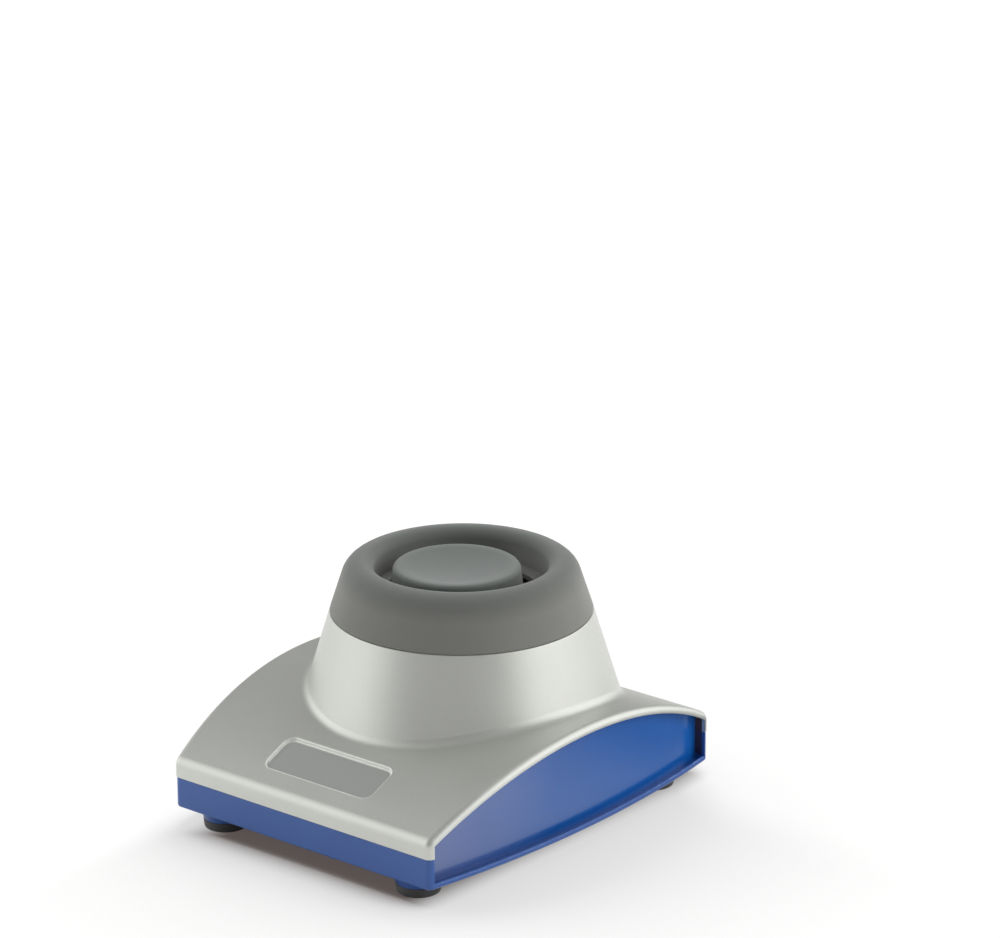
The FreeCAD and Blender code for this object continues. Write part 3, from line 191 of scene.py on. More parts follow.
class Finish(Graph):
    """A material: textures on Object coordinates that end in one Principled shader."""

    def __init__(self, name, **constants):
        self.material = bpy.data.materials.new(name)
        self.material.use_nodes = True
        super().__init__(self.material.node_tree)
        self.tree.nodes.clear()
        self.shader = self.tree.nodes.new("ShaderNodeBsdfPrincipled")
        output = self.tree.nodes.new("ShaderNodeOutputMaterial")
        self.tree.links.new(self.shader.outputs[0], output.inputs["Surface"])
        for word, number in constants.items():
            self.shader.inputs[word.replace("_", " ")].default_value = number

    def spot(self, stretch=(1, 1, 1)):
        """Object coordinates, scaled along each axis."""
        place = self.node("ShaderNodeTexCoord", output="Object")
        if tuple(stretch) == (1, 1, 1):
            return place
        return self.node("ShaderNodeMapping", {}, {"Vector": place, "Scale": stretch})

    def noise(self, size, detail=2.0, stretch=(1, 1, 1), spot=None):
        """Noise from 0 to 1 whose features are about size metres across."""
        inputs = {"Vector": spot or self.spot(stretch), "Scale": 1 / size, "Detail": detail}
        return self.node("ShaderNodeTexNoise", {}, inputs)

    def cells(self, size, output="Color"):
        """Cells about size metres across: a value for each, or the distance to its middle."""
        inputs = {"Vector": self.spot(), "Scale": 1 / size}
        return self.node("ShaderNodeTexVoronoi", {}, inputs, output)

    def place(self):
        """The x, y and z of a point of the piece, in metres."""
        return self.parts(self.spot())

    def turned_spot(self, axis):
        """Distance from an upright axis and height, for marks left by a lathe."""
        x, y, z = self.place()
        across, along = x - axis[0], y - axis[1]
        radius = (across * across + along * along).math("SQRT")
        return self.node("ShaderNodeCombineXYZ", {}, {"X": radius, "Y": z})

    def ramp(self, value, *stops):
        return self.node("ShaderNodeValToRGB", {"stops": stops}, {"Fac": value})

    def bump(self, height, depth, under=None):
        inputs = {"Height": height, "Distance": depth, "Strength": 1.0}
        if under is not None:
            inputs["Normal"] = under
        return self.node("ShaderNodeBump", {}, inputs)

    def ends(self, **links):
        """Joins values to the shader's sockets and gives back the material."""
        for word, value in links.items():
            self.feed(self.shader.inputs[word.replace("_", " ")], value)
        return self.material


# Places on the case that its finishes follow

INNER_DEPTH = 62.0
ARCH_CENTRE = -91.1
ARCH_UNDERSIDE = 126.4
ARCH_TOP = 128.6
FLOOR_TOP = 7.4
SKIN = 0.05
DARK_INSIDE_EDGE = 48.5


def between_walls(x, y):
    """1 between the end walls, short of their upright edges, which keep the case's colour."""
    between = y.math("ABSOLUTE").math("LESS_THAN", mm(INNER_DEPTH + SKIN))
    return between * x.math("ABSOLUTE").math("LESS_THAN", mm(DARK_INSIDE_EDGE))


def inside_of_cover(finish):
    """1 on the faces between the cover's end walls and under its arch, which are painted dark as
    shade.
    """
    x, y, z = finish.place()
    rise = z - mm(ARCH_CENTRE)
    reach = (y * y + rise * rise).math("SQRT")
    return between_walls(x, y) * reach.math("LESS_THAN", mm(ARCH_UNDERSIDE + SKIN))


def inside_of_base(finish):
    """1 on the faces of the end walls that look into the base, which are painted dark as shade."""
    x, y, z = finish.place()
    return between_walls(x, y) * z.math("GREATER_THAN", mm(FLOOR_TOP + SKIN))


RECESS_PLACE = -51.2
# How much the arch's slope at the recess shortens it, seen from above
RECESS_LEAN = math.sqrt(1 - (RECESS_PLACE / ARCH_TOP) ** 2)
RECESS_HALF = (20.3, 6.6)
RECESS_CORNER = 3.0


def from_recess_edge(finish):
    """Distance in metres from the outline of the shallow recess, negative inside it."""
    x, y = finish.place()[:2]
    half_x, half_y = (mm(half - RECESS_CORNER) for half in RECESS_HALF)
    across = (x.math("ABSOLUTE") - half_x).math("MAXIMUM", 0)
    along = ((y - mm(RECESS_PLACE)).math("ABSOLUTE") / RECESS_LEAN - half_y).math("MAXIMUM", 0)
    return (across * across + along * along).math("SQRT") - mm(RECESS_CORNER)


# Finishes

RIM_PLACE = 0.1
RIM_WIDTH = 0.42
SUNK_FROM = -0.35
RIM_PALENESS = 0.8
RIM_DULLNESS = 0.6
PAINT_METAL = 0.75


def silver_lacquer():
    """Satin silver paint with a fine metal grain and a trace of orange peel.

    The rim of the recess has a painted highlight, its floor is darker, and the cover's inside is
    painted dark as shade.
    """
    finish = Finish("silver_lacquer", Specular_IOR_Level=0.4)
    flake = finish.cells(mm(0.14))
    cloud = finish.noise(mm(22), 3)
    tone = finish.blend(cloud, srgb(196, 198, 192), srgb(204, 206, 200))
    grain = finish.blend(flake * 0.22, tone, srgb(232, 234, 230))
    peel = finish.bump(finish.noise(mm(1.6), 1), mm(0.006))
    fine = finish.bump(flake, mm(0.004), peel)
    rough = 0.36 + finish.noise(mm(9), 2) * 0.06 + flake * 0.05
    edge = from_recess_edge(finish)
    # Painted highlight: a pale, less metallic band along the outline of the recess.
    rim_highlight = 1 - ((edge - mm(RIM_PLACE)).math("ABSOLUTE") / mm(RIM_WIDTH)).math("MINIMUM", 1)
    sunk = edge.math("LESS_THAN", mm(SUNK_FROM))
    floor = finish.blend(sunk, grain, srgb(187, 190, 187))
    dressing = finish.blend(rim_highlight * RIM_PALENESS, floor, srgb(246, 247, 242))
    # Painted shade: the faces inside the cover are dark and have no metal.
    inside = inside_of_cover(finish)
    colour = finish.blend(inside, dressing, srgb(66, 50, 60))
    metal = (1 - inside) * (PAINT_METAL - rim_highlight * RIM_DULLNESS)
    return finish.ends(Base_Color=colour, Roughness=rough, Metallic=metal, Normal=fine)


def blue_satin():
    """Moulded blue plastic of the base, with a fine spark-eroded grain."""
    finish = Finish("blue_satin", Specular_IOR_Level=0.6)
    cloud = finish.noise(mm(14), 3)
    tone = finish.blend(cloud, srgb(36, 78, 147), srgb(42, 86, 155))
    grain = finish.noise(mm(0.32), 2)
    rough = 0.3 + finish.noise(mm(4), 2) * 0.08
    # Painted shade: the end walls' faces inside the base are dark.
    colour = finish.blend(inside_of_base(finish), tone, srgb(46, 36, 62))
    return finish.ends(Base_Color=colour, Roughness=rough, Normal=finish.bump(grain, mm(0.006)))


def blue_gloss():
    """Polished blue of the side panels with faint flow marks, and a painted reflection of the pale
    floor, greyer and lighter at the front.
    """
    finish = Finish("blue_gloss", Specular_IOR_Level=0.7, Coat_Weight=0.6, Coat_Roughness=0.06)
    flow = finish.noise(mm(16), 2, (1, 0.35, 1.6))
    along = finish.place()[1] / mm(120) + 0.5 + (flow - 0.5) * 0.2
    # Painted reflection: pale greyish lavender at the front, shading to deep blue at the rear.
    tone = finish.ramp(along, (0.0, srgb(84, 102, 154)), (0.42, srgb(22, 82, 156)),
                       (1.0, srgb(14, 90, 172)))
    wave = finish.bump(finish.noise(mm(18), 1), mm(0.02))
    rough = 0.2 + finish.noise(mm(6), 3) * 0.08
    return finish.ends(Base_Color=tone, Roughness=rough, Normal=wave)


TOP_SHADE_FROM = 67.0
TOP_SHADE_FADE = 7.0


def rubber(name, dark, light, stipple=0.16, top_shade=None):
    """Matte moulded rubber: a soft sheen, fine pits and mottling, and painted shade over its top
    when a shade colour is given.
    """
    finish = Finish(name, Specular_IOR_Level=0.35, Sheen_Weight=0.2, Sheen_Roughness=0.6)
    cloud = finish.noise(mm(11), 4)
    tone = finish.blend(cloud, dark, light)
    if top_shade:
        # Painted shade: the rubber darkens over its top few millimetres.
        share = (finish.place()[2] - mm(TOP_SHADE_FROM)) / mm(TOP_SHADE_FADE)
        tone = finish.blend(share.math("MAXIMUM", 0).math("MINIMUM", 1), tone, top_shade)
    pits = finish.cells(mm(stipple), "Distance")
    rough = 0.62 + finish.noise(mm(5), 3) * 0.14
    return finish.ends(Base_Color=tone, Roughness=rough, Normal=finish.bump(pits, mm(0.012)))


def plastic(name, dark, light, roughness=0.45):
    """An inner moulding with a light grain and uneven sheen."""
    finish = Finish(name, Specular_IOR_Level=0.5)
    tone = finish.blend(finish.noise(mm(7), 3), dark, light)
    grain = finish.bump(finish.noise(mm(0.25), 2), mm(0.006))
    rough = roughness + finish.noise(mm(3), 2) * 0.12
    return finish.ends(Base_Color=tone, Roughness=rough, Normal=grain)


def turned_metal(name, dark, light, axis, roughness=0.22, pitch=0.09):
    """Metal with the fine rings that a lathe leaves round its axis."""
    finish = Finish(name, Metallic=1.0)
    rings = finish.noise(mm(pitch), 3, spot=finish.turned_spot(axis))
    tone = finish.blend(rings, dark, light)
    rough = roughness + finish.noise(mm(2.5), 3) * 0.12
    return finish.ends(Base_Color=tone, Roughness=rough, Normal=finish.bump(rings, mm(0.004)))


def plain_metal(name, dark, light, roughness=0.28, grain=0.4, stretch=(1, 1, 1)):
    """Rolled, plated or sintered metal, with its grain drawn out along one way."""
    finish = Finish(name, Metallic=1.0)
    mottle = finish.noise(mm(grain), 4, stretch)
    tone = finish.blend(mottle, dark, light)
    rough = roughness + mottle * 0.16
    return finish.ends(Base_Color=tone, Roughness=rough, Normal=finish.bump(mottle, mm(0.004)))


SHEET = 0.5
STRIPE_EDGE = -9.3


def laminated_steel():
    """The armature's stack of half-millimetre sheets, varnished at the edges."""
    finish = Finish("laminated_steel", Metallic=0.9)
    seam = (finish.place()[2] / mm(SHEET)).math("FRACT")
    line = (seam - 0.5).math("ABSOLUTE").math("GREATER_THAN", 0.4)
    tone = finish.blend(line, srgb(150, 150, 154), srgb(58, 56, 58))
    rough = 0.35 + finish.noise(mm(1.5), 3) * 0.2
    return finish.ends(Base_Color=tone, Roughness=rough,
                       Normal=finish.bump(1 - line, mm(0.05)))


def board_mask():
    """Green solder mask over copper tracks on the circuit board."""
    finish = Finish("board_mask", Specular_IOR_Level=0.6, Coat_Weight=0.4, Coat_Roughness=0.15)
    cell = finish.node("ShaderNodeTexBrick", {"offset": 0.5},
                       {"Vector": finish.spot(), "Scale": 1.0, "Mortar Size": mm(0.35),
                        "Brick Width": mm(9), "Row Height": mm(3.1)}, "Fac")
    tone = finish.blend(cell, srgb(18, 84, 48), srgb(34, 116, 66))
    return finish.ends(Base_Color=tone, Roughness=0.3 + cell * 0.08,
                       Normal=finish.bump(cell, mm(0.03)))


def sleeve():
    """The shrunk sleeve of the capacitor, with its pale stripe."""
    finish = Finish("sleeve", Specular_IOR_Level=0.6)
    stripe = finish.place()[0].math("GREATER_THAN", mm(STRIPE_EDGE))
    tone = finish.blend(stripe, srgb(24, 26, 34), srgb(176, 180, 186))
    rough = 0.28 + finish.noise(mm(2), 2) * 0.1
    return finish.ends(Base_Color=tone, Roughness=rough)


MIXING_AXIS = mm(0, 8.5, 0)
PIN_AXIS = mm(0, 6.5, 0)

finishes = {
    "silver_case": silver_lacquer(),
    "blue_case": blue_satin(),
    "blue_panel": blue_gloss(),
    "grey_rubber": rubber("grey_rubber", srgb(109, 110, 106), srgb(118, 119, 114),
                          top_shade=srgb(86, 90, 86)),
    # The cup's rubber is a darker copy of the grey rubber, painted shade over its top.
    "cup_rubber": rubber("cup_rubber", srgb(85, 90, 87), srgb(94, 99, 95)),
    "black_rubber": rubber("black_rubber", srgb(56, 55, 56), srgb(68, 66, 66), 0.25),
    "steel": turned_metal("screw_steel", srgb(150, 150, 152), srgb(196, 196, 198), MIXING_AXIS),
    "bearing_steel": turned_metal("bearing_steel", srgb(186, 188, 192), srgb(216, 218, 222),
                                  PIN_AXIS, 0.1, 0.05),
    "spring_steel": plain_metal("spring_steel", srgb(128, 130, 134), srgb(178, 180, 184), 0.25),
    "zinc_plate": plain_metal("zinc_plate", srgb(160, 164, 168), srgb(206, 208, 208), 0.26, 2.5),
    "core_steel": laminated_steel(),
    "ferrite": plastic("ferrite", srgb(44, 44, 47), srgb(62, 62, 66), 0.6),
    "carbon": plastic("carbon", srgb(26, 26, 28), srgb(46, 46, 50), 0.5),
    "brass": plain_metal("brass", srgb(184, 146, 78), srgb(222, 188, 116), 0.26, 0.8),
    "bronze": plain_metal("bronze", srgb(142, 96, 60), srgb(184, 132, 86), 0.4, 0.18),
    "copper": plain_metal("enamelled_copper", srgb(150, 66, 34), srgb(196, 102, 60), 0.24, 0.5),
    "aluminium_plate": plain_metal("brushed_aluminium", srgb(176, 178, 180), srgb(214, 216, 218),
                                   0.28, 0.3, (0.04, 1, 1)),
    "black_plastic": plastic("black_plastic", srgb(24, 24, 26), srgb(36, 36, 38)),
    "natural_nylon": plastic("natural_nylon", srgb(216, 210, 192), srgb(228, 223, 208), 0.4),
    "board_green": board_mask(),
    "black_sleeve": sleeve(),
}


for thing in nodes.values():
    dressing = thing.data.materials
    finish = finishes[dressing[0].name.split(".")[0]]
    dressing.clear()
    dressing.append(finish)


# Patterns of repeated shapes

class Pattern(Graph):
    """A tree of geometry nodes with named sizes, run on one small mesh."""

    def __init__(self, name, **sizes):
        super().__init__(bpy.data.node_groups.new(name, "GeometryNodeTree"))
        face = self.tree.interface
        face.new_socket("Geometry", in_out="OUTPUT", socket_type="NodeSocketGeometry")
        face.new_socket("Geometry", in_out="INPUT", socket_type="NodeSocketGeometry")
        self.sizes = {}
        for word, size in sizes.items():
            kind = "NodeSocketInt" if isinstance(size, int) else "NodeSocketFloat"
            socket = face.new_socket(word, in_out="INPUT", socket_type=kind)
            self.sizes[word] = (socket.identifier, size)
        self.start = self.tree.nodes.new("NodeGroupInput")
        self.master = Value(self, self.start.outputs["Geometry"])

    def size(self, word):
        return Value(self, self.start.outputs[word])

    def vector(self, x=0.0, y=0.0, z=0.0):
        return self.node("ShaderNodeCombineXYZ", {}, {"X": x, "Y": y, "Z": z})

    def copies(self, points, shape, turn=None):
        inputs = {"Points": points, "Instance": shape}
        if turn is not None:
            inputs["Rotation"] = self.vector(z=turn)
        return self.node("GeometryNodeInstanceOnPoints", {}, inputs)

    def around(self, shape, count, reach, first):
        """The shape at count places on a circle, turned to face outwards at each."""
        circle = self.node("GeometryNodeMeshCircle", {}, {"Vertices": count, "Radius": reach})
        points = self.node("GeometryNodeTransform", {},
                           {"Geometry": circle, "Rotation": self.vector(z=first)})
        turn = first + self.node("GeometryNodeInputIndex") * (2 * math.pi) / count
        return self.copies(points, shape, turn)

    def pair(self, shape, reach, place):
        """The shape at both sides of the middle, at one place along the case."""
        line = self.node("GeometryNodeMeshLine", {"mode": "END_POINTS"},
                         {"Count": 2, "Start Location": self.vector(0 - reach, place),
                          "Offset": self.vector(reach, place)})
        return self.copies(line, shape)

    def joined(self, *shapes):
        together = self.tree.nodes.new("GeometryNodeJoinGeometry")
        for shape in shapes:
            self.tree.links.new(shape.socket, together.inputs[0])
        return Value(self, together.outputs[0])

    def wire(self, path, thickness, sides):
        """A round wire along a path."""
        section = self.node("GeometryNodeCurvePrimitiveCircle", {},
                            {"Resolution": sides, "Radius": thickness / 2})
        return self.node("GeometryNodeCurveToMesh", {},
                         {"Curve": path, "Profile Curve": section, "Fill Caps": True})

    def run(self, name, shape, finish, mesh=None, middle=ORIGIN):
        """Bakes the tree to a plain mesh whose place is moved by middle."""
        whole = self.node("GeometryNodeRealizeInstances", {}, {"Geometry": shape})
        smooth = self.node("GeometryNodeSetShadeSmooth", {}, {"Geometry": whole})
        covered = self.node("GeometryNodeSetMaterial", {}, {"Geometry": smooth, "Material": finish})
        end = self.tree.nodes.new("NodeGroupOutput")
        self.tree.links.new(covered.socket, end.inputs["Geometry"])
        thing = bpy.data.objects.new(name, mesh or bpy.data.meshes.new(name + "_start"))
        bpy.context.scene.collection.objects.link(thing)
        modifier = thing.modifiers.new("pattern", "NODES")
        modifier.node_group = self.tree
        for identifier, size in self.sizes.values():
            modifier[identifier] = size
        evaluated = thing.evaluated_get(bpy.context.evaluated_depsgraph_get())
        baked = bpy.data.meshes.new_from_object(evaluated)
        baked.transform(Matrix.Translation(middle))
        bpy.data.objects.remove(thing)
        return baked


# Meshes

ARC_STEPS = 8
ROUND_STEPS = 128
ON_AXIS = 1e-6


def rounded(corners, closed=True):
    """Points along an outline of (radius, height, round) corners, each round as an arc."""
    count = len(corners)
    points = []
    for number, corner in enumerate(corners):
        here = Vector(corner[:2])
        size = corner[2] if len(corner) > 2 else 0
        at_end = not closed and number in (0, count - 1)
        if not size or at_end:
            points.append(here)
            continue
        back = (Vector(corners[number - 1][:2]) - here).normalized()
        ahead = (Vector(corners[(number + 1) % count][:2]) - here).normalized()
        half = back.angle(ahead) / 2
        reach = size / math.tan(half)
        middle = here + (back + ahead).normalized() * (size / math.sin(half))
        start = here + back * reach - middle
        end = here + ahead * reach - middle
        swing = math.pi - 2 * half
        for step in range(ARC_STEPS + 1):
            share = step / ARC_STEPS
            first = math.sin((1 - share) * swing) / math.sin(swing)
            second = math.sin(share * swing) / math.sin(swing)
            points.append(middle + start * first + end * second)
    return points


def six_sided(turn):
    """How much further out than its flats a hexagon reaches at an angle."""
    flat = math.pi / 3
    return 1 / math.cos((turn + flat / 2) % flat - flat / 2)


def lathe(name, outline, axis=ORIGIN, closed=True, steps=ROUND_STEPS, hexagons=()):
    """A mesh turned about an upright axis. The outline runs anticlockwise, in millimetres.

    hexagons holds the numbers of the outline's points that go round a hexagon instead.
    """
    verts, rings = [], []
    for number, (radius, height) in enumerate(outline):
        if radius < ON_AXIS:
            rings.append([len(verts)] * steps)
            verts.append((axis[0], axis[1], mm(height)))
            continue
        rings.append(range(len(verts), len(verts) + steps))
        for step in range(steps):
            turn = 2 * math.pi * step / steps
            reach = mm(radius) * (six_sided(turn) if number in hexagons else 1)
            verts.append((axis[0] + reach * math.cos(turn),
                          axis[1] + reach * math.sin(turn), mm(height)))
    faces = []
    last = len(rings) if closed else len(rings) - 1
    for number in range(last):
        low, high = rings[number], rings[(number + 1) % len(rings)]
        for step in range(steps):
            after = (step + 1) % steps
            face = (low[step], low[after], high[after], high[step])
            corners = list(dict.fromkeys(face))
            if len(corners) > 2:
                faces.append(corners)
    mesh = bpy.data.meshes.new(name)
    mesh.from_pydata(verts, [], faces)
    mesh.shade_smooth()
    return mesh


def piece(name, mesh, slot, body, replaced, finish=None):
    """A finished piece that rides on a body and stands for a node of the frame."""
    thing = bpy.data.objects.new(name, mesh)
    bpy.context.scene.collection.objects.link(thing)
    mesh.materials.clear()
    mesh.materials.append(finish or finishes[slot])
    modifier = thing.modifiers.new("even_normals", "WEIGHTED_NORMAL")
    modifier.keep_sharp = True
    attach(thing, body)
    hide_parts(replaced)
    return thing


# Rubber collar and cup

COLLAR_FOOT = 39.0
COLLAR_SEAM = 58.5
COLLAR_SHOULDER = 33.9
COLLAR_TOP = 74.2
MOUTH = 25.8
LIP = 22.8
LIP_TOP = 64.5
LIP_BOTTOM = 62.5
SPIGOT_BORE = 28.3
SPIGOT_REACH = 34.58
SPIGOT_TOP = 69.2
SPIGOT_ROOT = 36.4


def make_collar():
    outline = rounded([
        (COLLAR_FOOT, COLLAR_SEAM, 0.5),
        (COLLAR_SHOULDER, COLLAR_TOP, 6.2),
        (MOUTH, COLLAR_TOP, 3.3),
        (MOUTH, LIP_TOP, 0.8),
        (LIP, LIP_TOP, 0.5),
        (LIP, LIP_BOTTOM, 0.5),
        (SPIGOT_BORE, LIP_BOTTOM, 0.4),
        (SPIGOT_BORE, SPIGOT_TOP, 0.6),
        (SPIGOT_REACH, SPIGOT_TOP, 0.3),
        (SPIGOT_REACH, LIP_TOP, 0.2),
        (SPIGOT_ROOT, COLLAR_SEAM, 0.2),
    ])
    piece("rubber_collar_ring", lathe("rubber_collar_ring", outline, MIXING_AXIS),
          "grey_rubber", "housing", "rubber_collar")


CUP_RADIUS = 19.6
CUP_BOTTOM = 61.9
CUP_WAIST = 64.8
CUP_TOP = 72.8
CUP_TOP_RADIUS = 18.8
DISH_RADIUS = 16.4
DISH_DEPTH = 2.4
DISH_RINGS = 14
BORE_RADIUS = 12.6
BORE_TOP = 68.0


def make_cup():
    sphere = (DISH_RADIUS ** 2 + DISH_DEPTH ** 2) / (2 * DISH_DEPTH)
    dish = []
    for step in range(DISH_RINGS + 1):
        radius = DISH_RADIUS * (1 - step / DISH_RINGS)
        fall = DISH_DEPTH - sphere + math.sqrt(sphere ** 2 - radius ** 2)
        dish.append(Vector((radius, CUP_TOP - fall)))
    wall = rounded([(BORE_RADIUS, CUP_BOTTOM), (CUP_RADIUS, CUP_BOTTOM, 0.4),
                    (CUP_RADIUS, CUP_WAIST, 8), (CUP_TOP_RADIUS, CUP_TOP, 1.4),
                    (DISH_RADIUS, CUP_TOP)], closed=False)
    outline = wall[:-1] + dish + [Vector((0, BORE_TOP)), Vector((BORE_RADIUS, BORE_TOP))]
    piece("vortex_cup_top", lathe("vortex_cup_top", outline, PIN_AXIS),
          "grey_rubber", "head", "vortex_cup", finish=finishes["cup_rubber"])


# Feet

FOOT_RADIUS = 6.7
FOOT_HEIGHT = 3.0
STEM_RADIUS = 3.4
STEM_TOP = 3.8
SOLE_RING = 3.6
SOLE_DEPTH = 0.5


def make_feet():
    """Four moulded feet with a rounded rim and a ring moulded into the sole."""
    outline = rounded([
        (0, SOLE_DEPTH), (SOLE_RING - 0.4, SOLE_DEPTH, 0.3), (SOLE_RING, 0, 0.2),
        (FOOT_RADIUS - 0.3, 0, 0.7), (FOOT_RADIUS, FOOT_HEIGHT, 0.5),
        (STEM_RADIUS, FOOT_HEIGHT), (STEM_RADIUS, STEM_TOP, 0.2), (0, STEM_TOP),
    ], closed=False)
    pattern = Pattern("feet", front_reach=mm(37.4), front_place=mm(-55.0),
                      rear_reach=mm(39.6), rear_place=mm(49.4))
    front = pattern.pair(pattern.master, pattern.size("front_reach"), pattern.size("front_place"))
    rear = pattern.pair(pattern.master, pattern.size("rear_reach"), pattern.size("rear_place"))
    mesh = pattern.run("rubber_foot_set", pattern.joined(front, rear), finishes["black_rubber"],
                       lathe("foot", outline, steps=96))
    piece("rubber_foot_set", mesh, "black_rubber", "housing", "rubber_feet")


# Springs at the three posts

POST_CIRCLE = 29.0
POST_TOP = 34.0
PLATE_BOTTOM = 47.0
SPRING_RADIUS = 3.3
SPRING_WIRE = 0.8
SPRING_TURNS = 6.0


def at_posts(name, shape=None, mesh=None, finish="steel", **sizes):
    """A baked mesh that repeats a shape, or a small mesh, at the three posts."""
    pattern = Pattern(name, posts=3, post_circle=mm(POST_CIRCLE), first_turn=math.pi / 2, **sizes)
    single = shape(pattern) if shape else pattern.master
    repeated = pattern.around(single, pattern.size("posts"), pattern.size("post_circle"),
                              pattern.size("first_turn"))
    return pattern.run(name, repeated, finishes[finish], mesh, MIXING_AXIS)


def coil_spring(pattern):
    """Round wire whose first and last turns lie closed against their neighbours."""
    words = ("turns", "wire", "height", "reach")
    turns, wire, height, reach = (pattern.size(word) for word in words)
    spiral = pattern.node("GeometryNodeCurveSpiral", {},
                          {"Resolution": 28, "Rotations": turns, "Start Radius": reach,
                           "End Radius": reach, "Height": 0.0, "Reverse": False})
    along = pattern.node("GeometryNodeSplineParameter") * turns
    pitch = (height - wire * 2) / (turns - 2)
    middle = (along - 1) * pitch + wire
    ending = height - (turns - along) * wire
    rise = (along * wire).math("SMOOTH_MAX", middle.math("SMOOTH_MIN", ending, wire), wire)
    lift = pattern.vector(z=rise + mm(POST_TOP + SPRING_WIRE / 2))
    path = pattern.node("GeometryNodeSetPosition", {}, {"Geometry": spiral, "Offset": lift})
    return pattern.wire(path, wire, 12)


def make_springs():
    height = PLATE_BOTTOM - POST_TOP - SPRING_WIRE
    mesh = at_posts("carriage_springs", coil_spring, finish="spring_steel", turns=SPRING_TURNS,
                    wire=mm(SPRING_WIRE), height=mm(height), reach=mm(SPRING_RADIUS))
    springs = piece("carriage_springs", mesh, "spring_steel", "housing", "return_springs")
    mm(POST_TOP)
    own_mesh(springs)


# Screws

SOCKET = 1.25
SOCKET_DEPTH = 1.0
CHAMFER = 0.3
THREAD_PITCH = 0.7
THREAD_DEPTH = 0.25
THREAD_SHARE = 0.4
SHARP_EDGE = math.radians(25)
MOTOR_SCREW_REACH = 12.5


def socket_screw(node, shank, head, head_height):
    """A screw as tall as a node: chamfered head, hexagon socket and thread ridges at its foot."""
    foot, top = (corner[2] * 1000 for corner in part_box(node))
    seat = top - head_height
    length = seat - foot
    floor = top - SOCKET_DEPTH
    corners = [(0, floor), (SOCKET * 0.6, floor), (SOCKET, floor), (SOCKET, top),
               (head - CHAMFER, top), (head, top - CHAMFER), (head, seat), (shank, seat)]
    ridges = int(length * THREAD_SHARE / THREAD_PITCH)
    start = length - CHAMFER - ridges * THREAD_PITCH
    for ridge in range(ridges):
        place = start + ridge * THREAD_PITCH
        corners += [(shank, seat - place),
                    (shank - THREAD_DEPTH, seat - place - THREAD_PITCH / 2)]
    corners += [(shank, foot + CHAMFER), (shank - CHAMFER, foot), (0, foot)]
    outline = [Vector(corner) for corner in corners]
    mesh = lathe("screw", outline, closed=False, steps=48, hexagons=(1, 2, 3))
    mesh.flip_normals()
    return mesh


def make_guide_screws():
    screw = socket_screw("guide_screws", shank=2.0, head=4.2, head_height=2.2)
    mesh = at_posts("carriage_guide_screws", mesh=screw)
    mesh.set_sharp_from_angle(angle=SHARP_EDGE)
    piece("carriage_guide_screws", mesh, "steel", "housing", "guide_screws")


def make_motor_screws():
    screw = socket_screw("motor_screws", shank=1.5, head=2.7, head_height=1.4)
    pattern = Pattern("motor_fixing_screws", reach=mm(MOTOR_SCREW_REACH), place=MIXING_AXIS[1])
    shape = pattern.pair(pattern.master, pattern.size("reach"), pattern.size("place"))
    mesh = pattern.run("motor_fixing_screws", shape, finishes["steel"], screw)
    mesh.set_sharp_from_angle(angle=SHARP_EDGE)
    piece("motor_fixing_screws", mesh, "steel", "carriage", "motor_screws")


# Windings

POLE_WIDTH = 3.2
COIL_WIRE = 0.4
COIL_LAYERS = 4
COIL_START = 5.5
COIL_BEND = 0.6
FIRST_LAYER = 0.55
CORE_LENGTH = 12.0


def coil_turns(pattern):
    """Layers of enamelled wire wound round the neck of one armature pole."""
    wire = pattern.size("wire")
    shapes = []
    for layer in range(COIL_LAYERS):
        wound = wire * (layer + FIRST_LAYER)
        out = mm(POLE_WIDTH / 2) + wound
        tall = mm(CORE_LENGTH / 2) + wound
        loop = pattern.node("GeometryNodeCurvePrimitiveQuadrilateral", {"mode": "RECTANGLE"},
                            {"Width": out * 2, "Height": tall * 2})
        soft = pattern.node("GeometryNodeFilletCurve", {"mode": "POLY"},
                            {"Curve": loop, "Count": 4, "Radius": mm(COIL_BEND)})
        shapes.append(pattern.wire(soft, wire, 6))
    turned = pattern.node("GeometryNodeTransform", {},
                          {"Geometry": pattern.joined(*shapes),
                           "Rotation": (math.pi / 2, 0, math.pi / 2)})
    steps = pattern.node("GeometryNodeMeshLine", {"mode": "OFFSET"},
                         {"Count": COIL_LAYERS, "Start Location": (mm(COIL_START), 0, 0),
                          "Offset": pattern.vector(wire)})
    return pattern.copies(steps, turned)


def make_windings():
    low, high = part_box("armature_windings")
    pattern = Pattern("winding_turns", poles=3, first_turn=math.pi / 3, wire=mm(COIL_WIRE))
    wound = pattern.around(coil_turns(pattern), pattern.size("poles"), 0.0,
                           pattern.size("first_turn"))
    middle = Vector((MIXING_AXIS[0], MIXING_AXIS[1], (low[2] + high[2]) / 2))
    mesh = pattern.run("winding_turns", wound, finishes["copper"], None, middle)
    piece("winding_turns", mesh, "copper", "rotor", "armature_windings")


make_collar()
make_cup()
make_feet()
make_springs()
make_guide_screws()
make_motor_screws()
make_windings()


# Stage, lamps and camera

WHITE = (1, 1, 1, 1)
FLOOR_REACH = 12000.0
PAPER = (0.9, 0.89, 0.884, 1)
PAPER_SHADE = (0.155, 0.128, 0.12, 1)
GLOW = (1, 0.995, 0.992, 1)
PAPER_GLOW = 0.8
GLOW_STRENGTH = 1.05
LEAST_GLOW = 0.79
DIMMED_GLOW = 0.04
# The shadow close under the case: its reach, the open share at its dark and light ends, and how
# far out from a line along the case, a little right of the middle, the floor is back in the light
CLOSE_SHADOW = 22.0
SHADOW_OPEN = (0.36, 0.76)
SHADOW_LINE = 3.0
SHADOW_SIDES = (34.0, 49.0)
